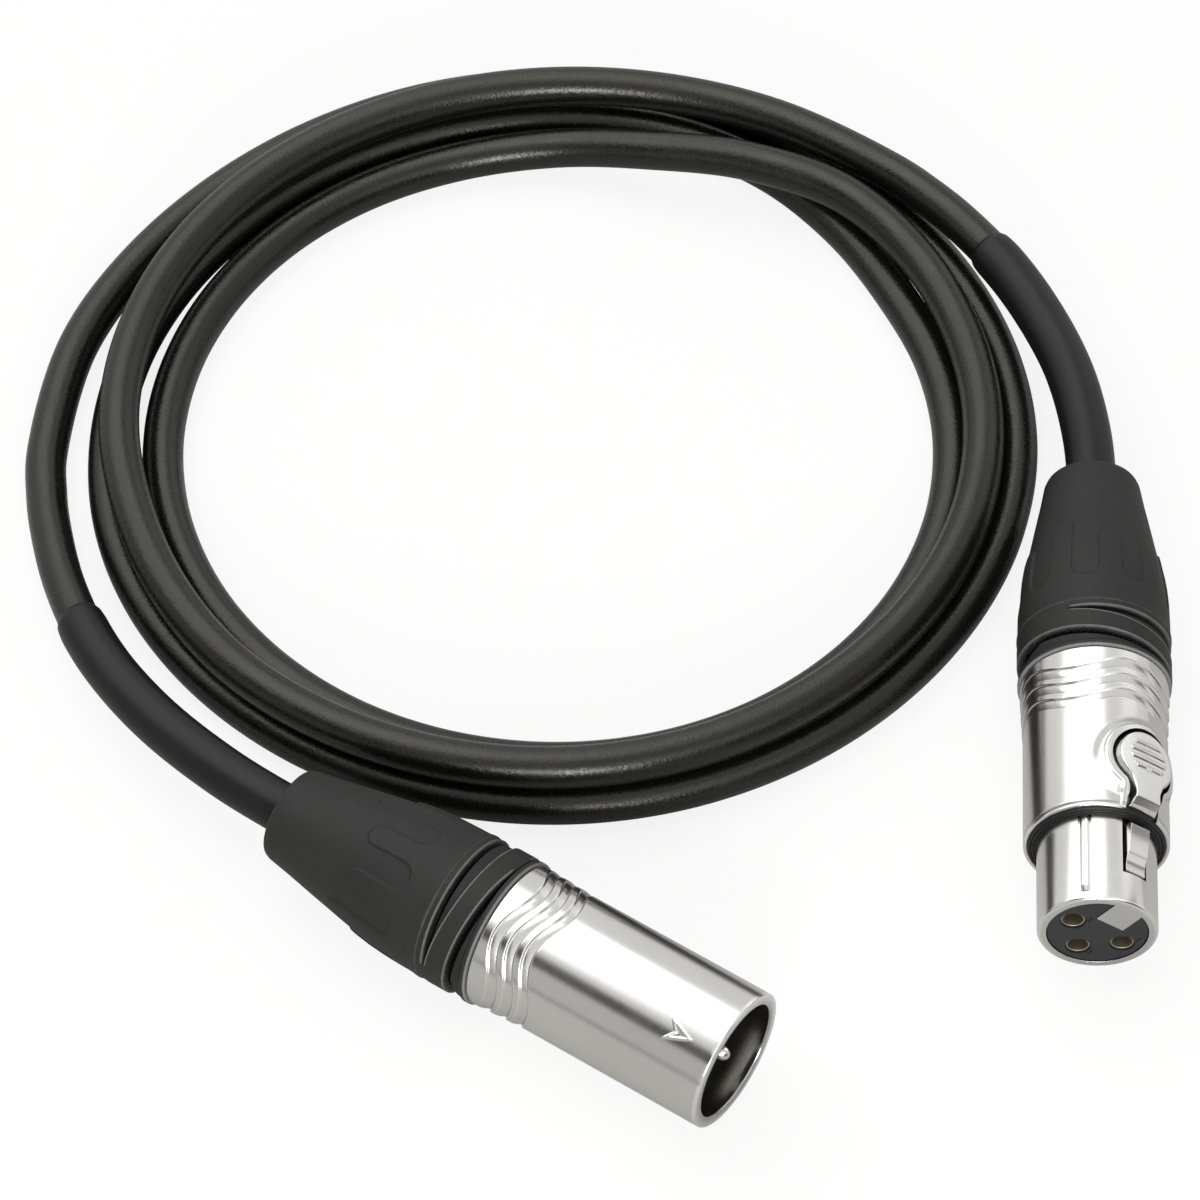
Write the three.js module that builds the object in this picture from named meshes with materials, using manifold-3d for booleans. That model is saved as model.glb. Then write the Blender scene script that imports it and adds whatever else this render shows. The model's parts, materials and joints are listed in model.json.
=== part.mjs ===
// A coiled microphone cable with a three-pin male connector on one end and a latching
// three-pole female connector on the other. Millimetres, +Z up, table at z = 0.
// +X runs out of the male connector's mouth. Both connectors lie on their boots' front
// collars, and the origin is midway between the connectors' outer limits, on the table.

import * as THREE from 'three';
import { mergeVertices } from 'three/addons/utils/BufferGeometryUtils.js';
import Module from 'manifold-3d';

// ---------------------------------------------------------------- driving dimensions

// Fits
const FIT = 0.25;                    // radial clearance between seated pieces
const FACE_GAP = 0.3;                // axial clearance between faces that meet
const CUT_MARGIN = 1;                // how far a cutter runs past the face that it cuts

// Cable
const CABLE_DIAMETER = 5.8;
const TURN_GAP = 0.6;                // clearance between turns that lie on each other
const END_STUB = 2;                  // straight ends of the coil and of each lead
const COIL_RADIUS = 56;              // inner turn, to the middle of the cable
const COIL_START_ANGLE = 213.8;      // where the first turn leaves the male lead, degrees
const STEPS_PER_TURN = 24;
const SIDES_OF_CABLE = 6;
const SIDES_OF_LEAD = 10;
const LEAD_STEP = 13;                // length of one facet of a lead
const SLEEVE_WALL = 0.42;            // heat-shrink sleeve
const SLEEVE_CLEARANCE = 0.14;
const SLEEVE_TUCK = 6;               // length of sleeve inside the boot
const SLEEVE_STEPS = 4;              // facets of the lead that the sleeve covers

// Boot: moulded grip over the clamping bushing
const BOOT_LENGTH = 32.4;
const BOOT_REAR_RADIUS = 6.6;
const BOOT_REAR_EDGE = 0.5;
const BOOT_CONE_LENGTH = 16.5;
const BOOT_SWELL = 0.9;              // growth from the cone's end to the front
const BOOT_RISE = 0.9;               // front above the barrel
const BOOT_FRONT_EDGE = 0.4;
const GRIP_RISE = 0.35;
const GRIP_COUNT = 9;
const GRIP_START = 12.3;
const GRIP_MIDDLE = 17;
const GRIP_END = 21.6;
const GRIP_WIDTH = 3.1;
const COLLAR_SLOT_WIDTH = 1.1;       // crescent slot behind the collar
const COLLAR_SLOT_DEPTH = 1.0;
const COLLAR_SLOT_TILT = 6;
const COLLAR_WIDTH = 3.6;
const COLLAR_WEDGE = 1.7;            // widest gap between collar and ring

// Bushing, ring and chuck
const BUSHING_LENGTH = 28.7;
const BUSHING_TAPER = 2.3;
const BUSHING_CONE_LENGTH = 5;
const BUSHING_WALL = 1.4;
const BUSHING_THROAT = 4.4;
const THREAD_ENGAGEMENT = 6.5;
const RING_LENGTH = 2.2;
const RING_RISE = 0.75;              // ring above the barrel
const CHUCK_SETBACK = 3.5;           // behind the bushing's rear
const CHUCK_LENGTH = 14;
const CHUCK_CONE_LENGTH = 4;
const CHUCK_NOSE_RADIUS = 4.9;
const CHUCK_SLIT = 0.8;
const CHUCK_SLIT_LENGTH = 10;
const CHUCK_SLIT_COUNT = 3;

// Shells
const MOUTH_RADIUS = 8.1;            // a female nose enters it
const MOUTH_WALL = 1.6;
const SHELL_WALL = 0.75;             // round the bushing
const SHELL_REAR_RISE = 0.3;         // ridged rear above the barrel
const SHELL_EDGE = 0.45;
const RIDGE_ZONE = 7.4;
const RIDGE_COUNT = 3;
const RIDGE_RISE = 0.25;
const MALE_SHELL_LENGTH = 35.3;
const MOUTH_CHAMFER = 0.45;
const LATCH_RECESS_DEPTH = 0.4;
const LATCH_RECESS_START = 5.2;      // from the mouth
const LATCH_RECESS_LENGTH = 3.6;
const FEMALE_BARREL_LENGTH = 26.6;

// Contacts and inserts
const CONTACT_CIRCLE_RADIUS = 4.1;
const PIN_RADIUS = 1.2;
const PIN_SETBACK = 2.3;             // pin tips behind the mouth
const MALE_INSERT_DEPTH = 15;        // insert face behind the mouth
const KEYWAY_DEPTH = 1.2;            // in the male insert's face
const INSERT_FLANGE_LENGTH = 4;
const CUP_RADIUS = 1.4;
const CUP_LENGTH = 4.4;
const CUP_WALL = 0.45;
const SOCKET_RADIUS = 1.75;
const SOCKET_BORE_DEPTH = 14;
const SOCKET_SETBACK = 1.5;
const CONDUCTOR_RADIUS = 0.6;
const CONDUCTOR_SPREAD = 1.5;        // conductors' circle where they leave the jacket

// Female nose
const NOSE_LENGTH = 13;              // in front of the barrel
const NOSE_CLEARANCE = 0.15;         // in a male mouth
const NOSE_WALL = 1.1;
const NOSE_CHAMFER = 0.35;
const NOSE_FLANGE_LENGTH = 3;
const NOSE_FLANGE_SETBACK = 1.3;     // flange front behind the barrel's rim
const SEAL_LENGTH = 1.5;
const FACE_SETBACK = 0.4;            // insert face behind the nose rim
const KEY_WIDTH = 4.4;
const KEY_HEIGHT = 2.5;
const KEY_DEPTH = 2.6;
const KEY_SETBACK = 0.5;             // the nose's key from the rear of its notch
const GROUND_ANGLE = 46;             // ground contact from the latch, degrees
const GROUND_WIDTH = 1.1;
const GROUND_LENGTH = 9;
const GROUND_START = 1.6;            // from the seal
const GROUND_DEPTH = 0.55;
const GROUND_RISE = 0.3;

// Latch
const LATCH_WIDTH = 3.8;
const LATCH_SIDE_GAP = 0.4;
const LATCH_THICKNESS = 1.5;
const LATCH_SINK = 0.05;             // lever's top below the nose
const LATCH_PIVOT_SETBACK = 1.6;     // pivot from the insert's rear face
const LATCH_PIVOT_DEPTH = 1.9;       // pivot below the bushing's radius
const KNUCKLE_RADIUS = 1.3;
const LATCH_PIN_RADIUS = 0.6;
const LATCH_PIN_CLEARANCE = 0.15;
const LATCH_PIN_SEAT = 1.2;          // pin beyond each side of the channel
const LATCH_DROP = 1.8;              // free depth under the lever
const HOOK_LENGTH = 7.6;
const HOOK_RISE = 0.55;
const HOOK_START = 2.2;              // from the barrel's rim
const HOOK_STEP = 1;
const PAD_RADIUS = 4.1;
const PAD_SETBACK = 8.9;             // pad centre behind the barrel's rim
const PAD_RISE = 0.55;               // crown of the pad above the barrel
const SURROUND_WIDTH = 1.7;          // raised surround of the pad
const SURROUND_RISE = 0.35;
const PAD_NECK_SETBACK = 1.5;
const SPRING_THICKNESS = 0.3;
const SPRING_LENGTH = 8;
const SPRING_WIDTH = 2.6;

// The connectors' cable entries: bearing from the middle of the coil, and distance
// outside its inner turn
const MALE_ENTRY_BEARING = -82.95;
const MALE_ENTRY_DISTANCE = 22.19;
const MALE_ROLL = 30;                // key from the top, about the connector's axis
const FEMALE_ENTRY_BEARING = 22.84;
const FEMALE_ENTRY_DISTANCE = 19.74;
const FEMALE_HEADING = -58.8;
const FEMALE_ROLL = -35;

const SEGMENTS = 32;                 // facets round a large turned piece
const SMALL_SEGMENTS = 12;

// ---------------------------------------------------------------- places along a connector

const BARREL_RADIUS = MOUTH_RADIUS + MOUTH_WALL;
const BORE_RADIUS = BARREL_RADIUS - SHELL_WALL;
const BUSHING_RADIUS = BORE_RADIUS - FIT;
const BUSHING_REAR_RADIUS = BUSHING_RADIUS - BUSHING_TAPER;
const SHELL_REAR_RADIUS = BARREL_RADIUS + SHELL_REAR_RISE;
const RING_RADIUS = BARREL_RADIUS + RING_RISE;
const BOOT_FRONT_RADIUS = BARREL_RADIUS + BOOT_RISE;
const BOOT_CONE_RADIUS = BOOT_FRONT_RADIUS - BOOT_SWELL;
const NOSE_RADIUS = MOUTH_RADIUS - NOSE_CLEARANCE;
const LATCH_HEIGHT = NOSE_RADIUS - LATCH_THICKNESS - LATCH_SINK;
const LATCH_PIVOT_HEIGHT = BUSHING_RADIUS - LATCH_PIVOT_DEPTH;
const PAD_HEIGHT = BARREL_RADIUS + PAD_RISE;
const INSERT_RADIUS = NOSE_RADIUS - NOSE_WALL - FIT;

const AXIS_HEIGHT = BOOT_FRONT_RADIUS;
const RING_START = BOOT_LENGTH + FACE_GAP;
const SHELL_START = RING_START + RING_LENGTH + FACE_GAP;
const BUSHING_END = SHELL_START + THREAD_ENGAGEMENT;
const BUSHING_START = BUSHING_END - BUSHING_LENGTH;
const INSERT_START = BUSHING_END + FACE_GAP;
const FLANGE_END = INSERT_START + INSERT_FLANGE_LENGTH;
const CUP_START = INSERT_START - CUP_LENGTH;
const CHUCK_START = BUSHING_START + CHUCK_SETBACK;
const CHUCK_END = CHUCK_START + CHUCK_LENGTH;
const MOUTH = SHELL_START + MALE_SHELL_LENGTH;
const BARREL_END = SHELL_START + FEMALE_BARREL_LENGTH;
const NOSE_END = BARREL_END + NOSE_LENGTH;
const SEAL_START = BARREL_END - NOSE_FLANGE_SETBACK + FACE_GAP;
const INSERT_FACE = NOSE_END - FACE_SETBACK;

const CABLE_RADIUS = CABLE_DIAMETER / 2;
const SLEEVE_BORE = CABLE_RADIUS + SLEEVE_CLEARANCE;
const SLEEVE_RADIUS = SLEEVE_BORE + SLEEVE_WALL;

const radians = THREE.MathUtils.degToRad;

/** A place on the table, by its bearing from the middle of the coil. */
function placeAt(bearing, distance) {
  return new THREE.Vector2(
    distance * Math.cos(radians(bearing)), distance * Math.sin(radians(bearing)));
}

const MALE_ENTRY = placeAt(MALE_ENTRY_BEARING, COIL_RADIUS + MALE_ENTRY_DISTANCE);
const FEMALE_ENTRY = placeAt(FEMALE_ENTRY_BEARING, COIL_RADIUS + FEMALE_ENTRY_DISTANCE);

const wasm = await Module();
wasm.setup();

// ---------------------------------------------------------------- shape helpers

/** Merges shared corners, drops faces with no area and turns every face outwards. */
function closeUp(geometry) {
  const bare = geometry.clone();
  bare.deleteAttribute('normal');
  bare.deleteAttribute('uv');
  const merged = mergeVertices(bare, 1e-4);
  const corners = merged.index.array;
  const position = merged.attributes.position;
  const faces = [];
  let volume = 0;
  const [a, b, c] = [new THREE.Vector3(), new THREE.Vector3(), new THREE.Vector3()];
  for (let i = 0; i < corners.length; i += 3) {
    const [p, q, r] = corners.slice(i, i + 3);
    if (p === q || q === r || r === p) continue;
    faces.push([p, q, r]);
    a.fromBufferAttribute(position, p);
    b.fromBufferAttribute(position, q);
    c.fromBufferAttribute(position, r);
    volume += a.dot(b.cross(c));
  }
  merged.setIndex(faces.flatMap(([p, q, r]) => (volume < 0 ? [p, r, q] : [p, q, r])));
  return merged;
}

/** A closed geometry as a solid for cutting and joining. */
function solid(geometry) {
  const closed = closeUp(geometry);
  const mesh = new wasm.Mesh({
    numProp: 3,
    vertProperties: new Float32Array(closed.attributes.position.array),
    triVerts: new Uint32Array(closed.index.array),
  });
  return new wasm.Manifold(mesh);
}

/** A solid back as a geometry. */
function geometryOf(body) {
  const mesh = body.getMesh();
  const geometry = new THREE.BufferGeometry();
  geometry.setAttribute('position', new THREE.BufferAttribute(mesh.vertProperties, 3));
  geometry.setIndex(Array.from(mesh.triVerts));
  return geometry;
}

/** Turns an outline of [distance along X, radius] points about the X axis. */
function turned(outline, segments = SEGMENTS) {
  const points = outline.map(([x, r]) => new THREE.Vector2(r, x));
  const first = points[0];
  if (first.x > 0 || points[points.length - 1].x > 0) points.push(first.clone());
  const geometry = new THREE.LatheGeometry(points, segments);
  geometry.rotateZ(-Math.PI / 2);
  return closeUp(geometry);
}

/** A tube between two planes along X. */
function tube(start, end, inner, outer, segments = SEGMENTS) {
  return turned([[start, inner], [start, outer], [end, outer], [end, inner]], segments);
}

/** A box from its lowest to its highest corner. */
function block(low, high) {
  const geometry = new THREE.BoxGeometry(high[0] - low[0], high[1] - low[1], high[2] - low[2]);
  return geometry.translate(...low.map((value, axis) => (value + high[axis]) / 2));
}

/** A flat outline in X and Y, raised from one height to another. */
function raised(shape, low, high, curveSegments = 8) {
  const settings = { depth: high - low, bevelEnabled: false, curveSegments };
  return new THREE.ExtrudeGeometry(shape, settings).translate(0, 0, low);
}

/** Joins solids into one. */
function joined(...bodies) {
  return bodies.reduce((whole, body) => whole.add(body));
}

/** Copies a geometry evenly round the X axis. */
function around(count, geometry, offset = 0) {
  return Array.from({ length: count }, (_, i) =>
    geometry.clone().rotateX(radians(offset + (360 * i) / count)));
}

/** A slot outline with round ends, along X. */
function stadium(start, end, width) {
  const half = width / 2;
  const shape = new THREE.Shape();
  shape.moveTo(start + half, -half);
  shape.lineTo(end - half, -half);
  shape.absarc(end - half, 0, half, -Math.PI / 2, Math.PI / 2, false);
  shape.lineTo(start + half, half);
  shape.absarc(start + half, 0, half, Math.PI / 2, Math.PI * 1.5, false);
  return shape;
}

const finishes = {
  jacket: { color: 0x2b2b28, roughness: 0.45, metalness: 0 },
  sleeve: { color: 0x1e1e1e, roughness: 0.5, metalness: 0 },
  rubber: { color: 0x353535, roughness: 0.8, metalness: 0 },
  plastic: { color: 0x1a1a1a, roughness: 0.6, metalness: 0 },
  nickel: { color: 0xb3aea6, roughness: 0.28, metalness: 1 },
  insulator: { color: 0x303030, roughness: 0.6, metalness: 0 },
  contact: { color: 0xa98a4e, roughness: 0.3, metalness: 1 },
  steel: { color: 0x9a9a9a, roughness: 0.35, metalness: 1 },
  white: { color: 0xe6e6e0, roughness: 0.5, metalness: 0 },
  red: { color: 0xa02020, roughness: 0.5, metalness: 0 },
  copper: { color: 0xb87048, roughness: 0.4, metalness: 1 },
};

/** A named mesh with one of the finishes. */
function piece(name, finish, geometry) {
  const mesh = new THREE.Mesh(geometry, new THREE.MeshStandardMaterial(finishes[finish]));
  mesh.name = name;
  return mesh;
}

// ---------------------------------------------------------------- the cable's route

const TURN_PITCH = CABLE_DIAMETER + TURN_GAP;

// One unbroken cable in three and a third turns. Each row is the angle wound so far in
// degrees, then how far the turn lies outside the inner turn and above the table, both in
// turn pitches. The last turn rides on the others before it leaves for the female lead.
const COIL_STATIONS = [
  [0, 2.55, 0], [5, 2.52, 0], [15, 2.42, 0], [30, 2.2, 0], [50, 2.03, 0], [90, 2.0, 0],
  [115, 1.84, 0], [135, 1.56, 0], [150, 1.48, 0], [180, 1.42, 0], [225, 1.08, 0],
  [270, 1.05, 0], [315, 1.17, 0], [340, 1.24, 0], [360, 1.19, 0], [390, 1.08, 0],
  [410, 1.01, 0], [450, 1.0, 0], [465, 0.93, 0], [480, 0.7, 0], [495, 0.32, 0],
  [510, 0.03, 0], [525, 0, 0], [630, 0, 0], [720, 0, 0], [780, 0, 0], [795, -0.03, 0.05],
  [810, -0.16, 0.3], [825, -0.36, 0.75], [840, -0.1, 1.06], [855, 0.42, 1.05],
  [870, 0.6, 0.9], [885, 0.62, 0.82], [900, 0.62, 0.81], [945, 0.64, 0.93], [990, 0.84, 1.0],
  [1035, 0.97, 1.0], [1060, 0.83, 0.95], [1080, 0.92, 0.99], [1110, 0.98, 1.02],
  [1140, 1.0, 1.02], [1170, 1.13, 1.0], [1185, 1.26, 0.98], [1200, 1.44, 0.98],
  [1210, 1.59, 0.98], [1215, 1.68, 0.98],
];

/** Reads the station table at an angle, along a smooth curve through its rows. */
function stationAt(angle) {
  const last = COIL_STATIONS.length - 1;
  let row = COIL_STATIONS.findIndex(([start]) => start > angle) - 1;
  if (row < 0) row = last - 1;
  const rows = [row - 1, row, row + 1, row + 2].map(
    (i) => COIL_STATIONS[THREE.MathUtils.clamp(i, 0, last)]);
  const span = rows[2][0] - rows[1][0];
  const t = (angle - rows[1][0]) / span;
  return [1, 2].map((column) => {
    const slope = (from, to) => {
      const run = to[0] - from[0];
      return run === 0 ? 0 : (to[column] - from[column]) / run;
    };
    const before = slope(rows[0], rows[2]) * span;
    const after = slope(rows[1], rows[3]) * span;
    const rise = rows[2][column] - rows[1][column];
    return rows[1][column] + t * (before + t * (3 * rise - 2 * before - after
      + t * (before + after - 2 * rise)));
  });
}

/** The middle of the cable at an angle wound from the start of the coil. */
function coilPoint(angle) {
  const [out, up] = stationAt(angle);
  const radius = COIL_RADIUS + out * TURN_PITCH;
  const bearing = radians(COIL_START_ANGLE - angle);
  return new THREE.Vector3(radius * Math.cos(bearing), radius * Math.sin(bearing),
    CABLE_RADIUS + up * TURN_PITCH);
}

const COIL_SWEEP = COIL_STATIONS[COIL_STATIONS.length - 1][0];

/** The coil's points, with a straight run of one cable diameter at each end. */
function coilPoints() {
  const count = Math.round((COIL_SWEEP / 360) * STEPS_PER_TURN);
  const points = Array.from({ length: count + 1 }, (_, i) => coilPoint((COIL_SWEEP * i) / count));
  const stub = (angle, inner) => {
    const end = coilPoint(angle);
    return end.clone().sub(coilPoint(inner)).setLength(END_STUB).add(end);
  };
  points.unshift(stub(0, 1));
  points.push(stub(COIL_SWEEP, COIL_SWEEP - 1));
  return points;
}

/** Sweeps a regular section along points, mitred at each of them, and caps both ends. */
function sweptCable(points, radius, sides) {
  const positions = [];
  const faces = [];
  const up = new THREE.Vector3(0, 0, 1);
  points.forEach((point, i) => {
    const before = points[Math.max(i - 1, 0)];
    const after = points[Math.min(i + 1, points.length - 1)];
    const along = after.clone().sub(before).normalize();
    const side = along.clone().cross(up).normalize();
    const top = side.clone().cross(along);
    for (let k = 0; k < sides; k += 1) {
      const turn = (2 * Math.PI * (k + 0.5)) / sides + Math.PI / 2;
      const corner = point.clone()
        .addScaledVector(side, radius * Math.cos(turn))
        .addScaledVector(top, radius * Math.sin(turn));
      positions.push(corner.x, corner.y, corner.z);
      if (i > 0) {
        const next = (k + 1) % sides;
        const [a, b] = [(i - 1) * sides + k, (i - 1) * sides + next];
        const [c, d] = [i * sides + k, i * sides + next];
        faces.push(a, b, d, a, d, c);
      }
    }
  });
  const lastRing = (points.length - 1) * sides;
  for (let k = 1; k < sides - 1; k += 1) {
    faces.push(0, k + 1, k, lastRing, lastRing + k, lastRing + k + 1);
  }
  const geometry = new THREE.BufferGeometry();
  geometry.setAttribute('position', new THREE.Float32BufferAttribute(positions, 3));
  geometry.setIndex(faces);
  return closeUp(geometry);
}

/** Least clearance between stretches of a cable that aren't neighbours along it. */
function leastGap(points, diameter) {
  const curve = new THREE.CatmullRomCurve3(points);
  const length = curve.getLength();
  const samples = curve.getSpacedPoints(Math.round(length));
  const apart = Math.round(diameter * 3);
  let least = Infinity;
  for (let i = 0; i < samples.length; i += 1) {
    for (let j = i + apart; j < samples.length; j += 1) {
      least = Math.min(least, samples[i].distanceTo(samples[j]));
    }
  }
  return least - diameter;
}

// Free leads, from the coil's end to each connector. Each row is the share of the straight
// way, the distance to the left of it in cable diameters, and the share of the rise.
const MALE_LEAD = [
  [0.08, -0.51, 0.02], [0.16, -0.91, 0.09], [0.32, -1.47, 0.27], [0.5, -1.7, 0.5],
  [0.68, -1.46, 0.71], [0.86, -0.79, 0.89],
];
const FEMALE_LEAD = [
  [0.08, 0.43, -0.08], [0.18, 0.85, -0.18], [0.34, 1.25, -0.2], [0.5, 1.35, -0.04],
  [0.68, 1.17, 0.44], [0.86, 0.64, 0.83],
];

/** The hand-laid points of a lead between two places. */
function leadPoints(rows, start, door) {
  const way = door.clone().sub(start);
  const left = new THREE.Vector3(-way.y, way.x, 0).setLength(CABLE_DIAMETER);
  return rows.map(([share, aside, lift]) => {
    const point = start.clone().addScaledVector(way, share).addScaledVector(left, aside);
    return point.setZ(THREE.MathUtils.lerp(start.z, door.z, lift));
  });
}

/** A part of a curve, measured by length. */
class Stretch extends THREE.Curve {
  constructor(whole, from, to) {
    super();
    Object.assign(this, { whole, from, to });
  }

  getPoint(t, target = new THREE.Vector3()) {
    return target.copy(this.whole.getPointAt(this.from + (this.to - this.from) * t));
  }
}

/** Sweeps an outline along a curve in equal steps. */
function alongCurve(shape, curve, steps) {
  return closeUp(new THREE.ExtrudeGeometry(shape, { extrudePath: curve, steps, curveSegments: 1 }));
}

/** A regular outline, with a bore if an inner radius is given. */
function ringShape(sides, outer, inner = 0) {
  const corners = (radius) => Array.from({ length: sides }, (_, i) => new THREE.Vector2(
    radius * Math.cos((2 * Math.PI * i) / sides), radius * Math.sin((2 * Math.PI * i) / sides)));
  const shape = new THREE.Shape(corners(outer));
  if (inner > 0) shape.holes.push(new THREE.Path(corners(inner)));
  return shape;
}

/** A lead from the coil into a connector, and the sleeve that it wears at the connector. */
function lead(prefix, coilEnd, coilInner, rows, entry, heading) {
  const away = coilEnd.clone().sub(coilInner).normalize();
  const start = coilEnd.clone().addScaledVector(away, FACE_GAP);
  const inwards = new THREE.Vector3(Math.cos(heading), Math.sin(heading), 0);
  const door = new THREE.Vector3(entry.x, entry.y, AXIS_HEIGHT);
  const end = door.clone().addScaledVector(inwards, CHUCK_END - FACE_GAP);
  const half = door.clone().lerp(end, 0.5);
  const route = new THREE.CatmullRomCurve3([
    start, start.clone().addScaledVector(away, END_STUB),
    ...leadPoints(rows, start, door),
    door, half, end,
  ], false, 'centripetal');
  const length = route.getLength();
  const steps = Math.round(length / LEAD_STEP);
  const tucked = (steps - Math.ceil((CHUCK_END - SLEEVE_TUCK) / (length / steps))) / steps;
  const sleeve = new Stretch(route, tucked - SLEEVE_STEPS / steps, tucked);
  return [
    piece(`${prefix}_lead`, 'jacket', alongCurve(ringShape(SIDES_OF_LEAD, CABLE_RADIUS), route, steps)),
    piece(`${prefix}_sleeve`, 'sleeve',
      alongCurve(ringShape(SIDES_OF_LEAD, SLEEVE_RADIUS, SLEEVE_BORE), sleeve, SLEEVE_STEPS)),
  ];
}

// ---------------------------------------------------------------- pieces in both connectors

/** Radius of the boot's recessed surface, or of its raised grips, at a distance from the rear. */
function bootRadius(x, rise = 0) {
  const cone = THREE.MathUtils.mapLinear(x, 0, BOOT_CONE_LENGTH, BOOT_REAR_RADIUS, BOOT_CONE_RADIUS);
  const crown = THREE.MathUtils.mapLinear(x, BOOT_CONE_LENGTH, BOOT_LENGTH - COLLAR_WIDTH,
    BOOT_CONE_RADIUS, BOOT_FRONT_RADIUS - GRIP_RISE);
  return Math.min(cone, crown, BOOT_FRONT_RADIUS - GRIP_RISE) + rise;
}

/** The boot's bore: round the sleeve at the rear, round the bushing at the front. */
const bootBore = [
  [BOOT_LENGTH, BORE_RADIUS],
  [BUSHING_START + BUSHING_CONE_LENGTH - FACE_GAP, BORE_RADIUS],
  [BUSHING_START - FACE_GAP, BUSHING_REAR_RADIUS + FIT],
  [BUSHING_START - FACE_GAP, SLEEVE_RADIUS + FIT],
  [0, SLEEVE_RADIUS + FIT],
];

/** The rubber boot: a cone with alternating grip fingers and two crescent gaps at the collar. */
function boot() {
  const core = solid(turned([
    [0, BOOT_REAR_RADIUS - BOOT_REAR_EDGE],
    [BOOT_REAR_EDGE, BOOT_REAR_RADIUS],
    [BOOT_CONE_LENGTH, bootRadius(BOOT_CONE_LENGTH)],
    [BOOT_LENGTH, bootRadius(BOOT_LENGTH)],
    ...bootBore,
  ]));
  const skin = solid(turned([
    [GRIP_START - GRIP_WIDTH, BORE_RADIUS - CUT_MARGIN],
    [GRIP_START - GRIP_WIDTH, bootRadius(GRIP_START - GRIP_WIDTH, GRIP_RISE)],
    [BOOT_CONE_LENGTH, bootRadius(BOOT_CONE_LENGTH, GRIP_RISE)],
    [BOOT_LENGTH - COLLAR_WIDTH, bootRadius(BOOT_LENGTH - COLLAR_WIDTH, GRIP_RISE)],
    [BOOT_LENGTH - BOOT_FRONT_EDGE, BOOT_FRONT_RADIUS],
    [BOOT_LENGTH, BOOT_FRONT_RADIUS - BOOT_FRONT_EDGE],
    [BOOT_LENGTH, BORE_RADIUS],
    [GRIP_MIDDLE, BORE_RADIUS],
  ]));
  const reach = BOOT_FRONT_RADIUS + CUT_MARGIN;
  const finger = raised(stadium(GRIP_START, GRIP_MIDDLE + GRIP_WIDTH, GRIP_WIDTH), 0, reach, 3);
  const front = solid(turned([[GRIP_MIDDLE, 0], [GRIP_MIDDLE, reach],
    [BOOT_LENGTH + CUT_MARGIN, reach], [BOOT_LENGTH + CUT_MARGIN, 0]]));
  const valley = raised(stadium(GRIP_MIDDLE - GRIP_WIDTH, GRIP_END, GRIP_WIDTH), BORE_RADIUS - CUT_MARGIN, reach, 3);
  const region = joined(front, ...around(GRIP_COUNT, finger).map(solid));
  const valleys = around(GRIP_COUNT, valley, 180 / GRIP_COUNT).map(solid);
  const grips = valleys.reduce((left, cut) => left.subtract(cut), skin.intersect(region));

  const slotAt = BOOT_LENGTH - COLLAR_WIDTH - COLLAR_SLOT_WIDTH;
  const slot = tube(-COLLAR_SLOT_WIDTH / 2, COLLAR_SLOT_WIDTH / 2,
    BOOT_FRONT_RADIUS - COLLAR_SLOT_DEPTH, BOOT_FRONT_RADIUS + 2 * COLLAR_SLOT_DEPTH)
    .rotateY(radians(COLLAR_SLOT_TILT))
    .translate(slotAt, COLLAR_SLOT_DEPTH, -COLLAR_SLOT_DEPTH / 2);
  const wedgeTilt = Math.atan(COLLAR_WEDGE / (2 * BOOT_FRONT_RADIUS));
  const wedge = block([0, -2 * reach, -2 * reach], [reach, 2 * reach, 2 * reach])
    .rotateZ(-wedgeTilt)
    .translate(BOOT_LENGTH - COLLAR_WEDGE / 2, 0, 0);
  const bore = solid(turned([...bootBore, [0, 0], [BOOT_LENGTH, 0]]));
  return geometryOf(joined(core, grips).subtract(bore).subtract(solid(slot)).subtract(solid(wedge)));
}

/** The clamping bushing, which screws into the shell and draws the chuck tight. */
function bushing() {
  const inner = BUSHING_RADIUS - BUSHING_WALL;
  return turned([
    [BUSHING_START, BUSHING_THROAT],
    [BUSHING_START, BUSHING_REAR_RADIUS],
    [BUSHING_START + BUSHING_CONE_LENGTH, BUSHING_RADIUS],
    [BUSHING_END, BUSHING_RADIUS],
    [BUSHING_END, inner],
    [CHUCK_START + CHUCK_CONE_LENGTH - FACE_GAP, inner],
    [CHUCK_START - FACE_GAP, CHUCK_NOSE_RADIUS + FIT],
    [CHUCK_START - FACE_GAP, BUSHING_THROAT],
  ], 2 * SMALL_SEGMENTS);
}

/** The slit chuck that grips the cable's jacket. */
function chuck() {
  const outer = BUSHING_RADIUS - BUSHING_WALL - FIT;
  const inner = CABLE_RADIUS + FIT;
  const sleeve = solid(turned([
    [CHUCK_START, inner], [CHUCK_START, CHUCK_NOSE_RADIUS],
    [CHUCK_START + CHUCK_CONE_LENGTH, outer], [CHUCK_END, outer], [CHUCK_END, inner],
  ], 2 * SMALL_SEGMENTS));
  const slit = block([CHUCK_START - CUT_MARGIN, -CHUCK_SLIT / 2, 0],
    [CHUCK_START + CHUCK_SLIT_LENGTH, CHUCK_SLIT / 2, outer + CUT_MARGIN]);
  const slits = around(CHUCK_SLIT_COUNT, slit).map(solid);
  return geometryOf(slits.reduce((left, cut) => left.subtract(cut), sleeve));
}

/** The ring between boot and shell. */
function ring() {
  return turned([
    [RING_START, BORE_RADIUS], [RING_START, RING_RADIUS - SHELL_EDGE],
    [RING_START + SHELL_EDGE, RING_RADIUS], [RING_START + RING_LENGTH - SHELL_EDGE, RING_RADIUS],
    [RING_START + RING_LENGTH, RING_RADIUS - SHELL_EDGE], [RING_START + RING_LENGTH, BORE_RADIUS],
  ]);
}

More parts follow.
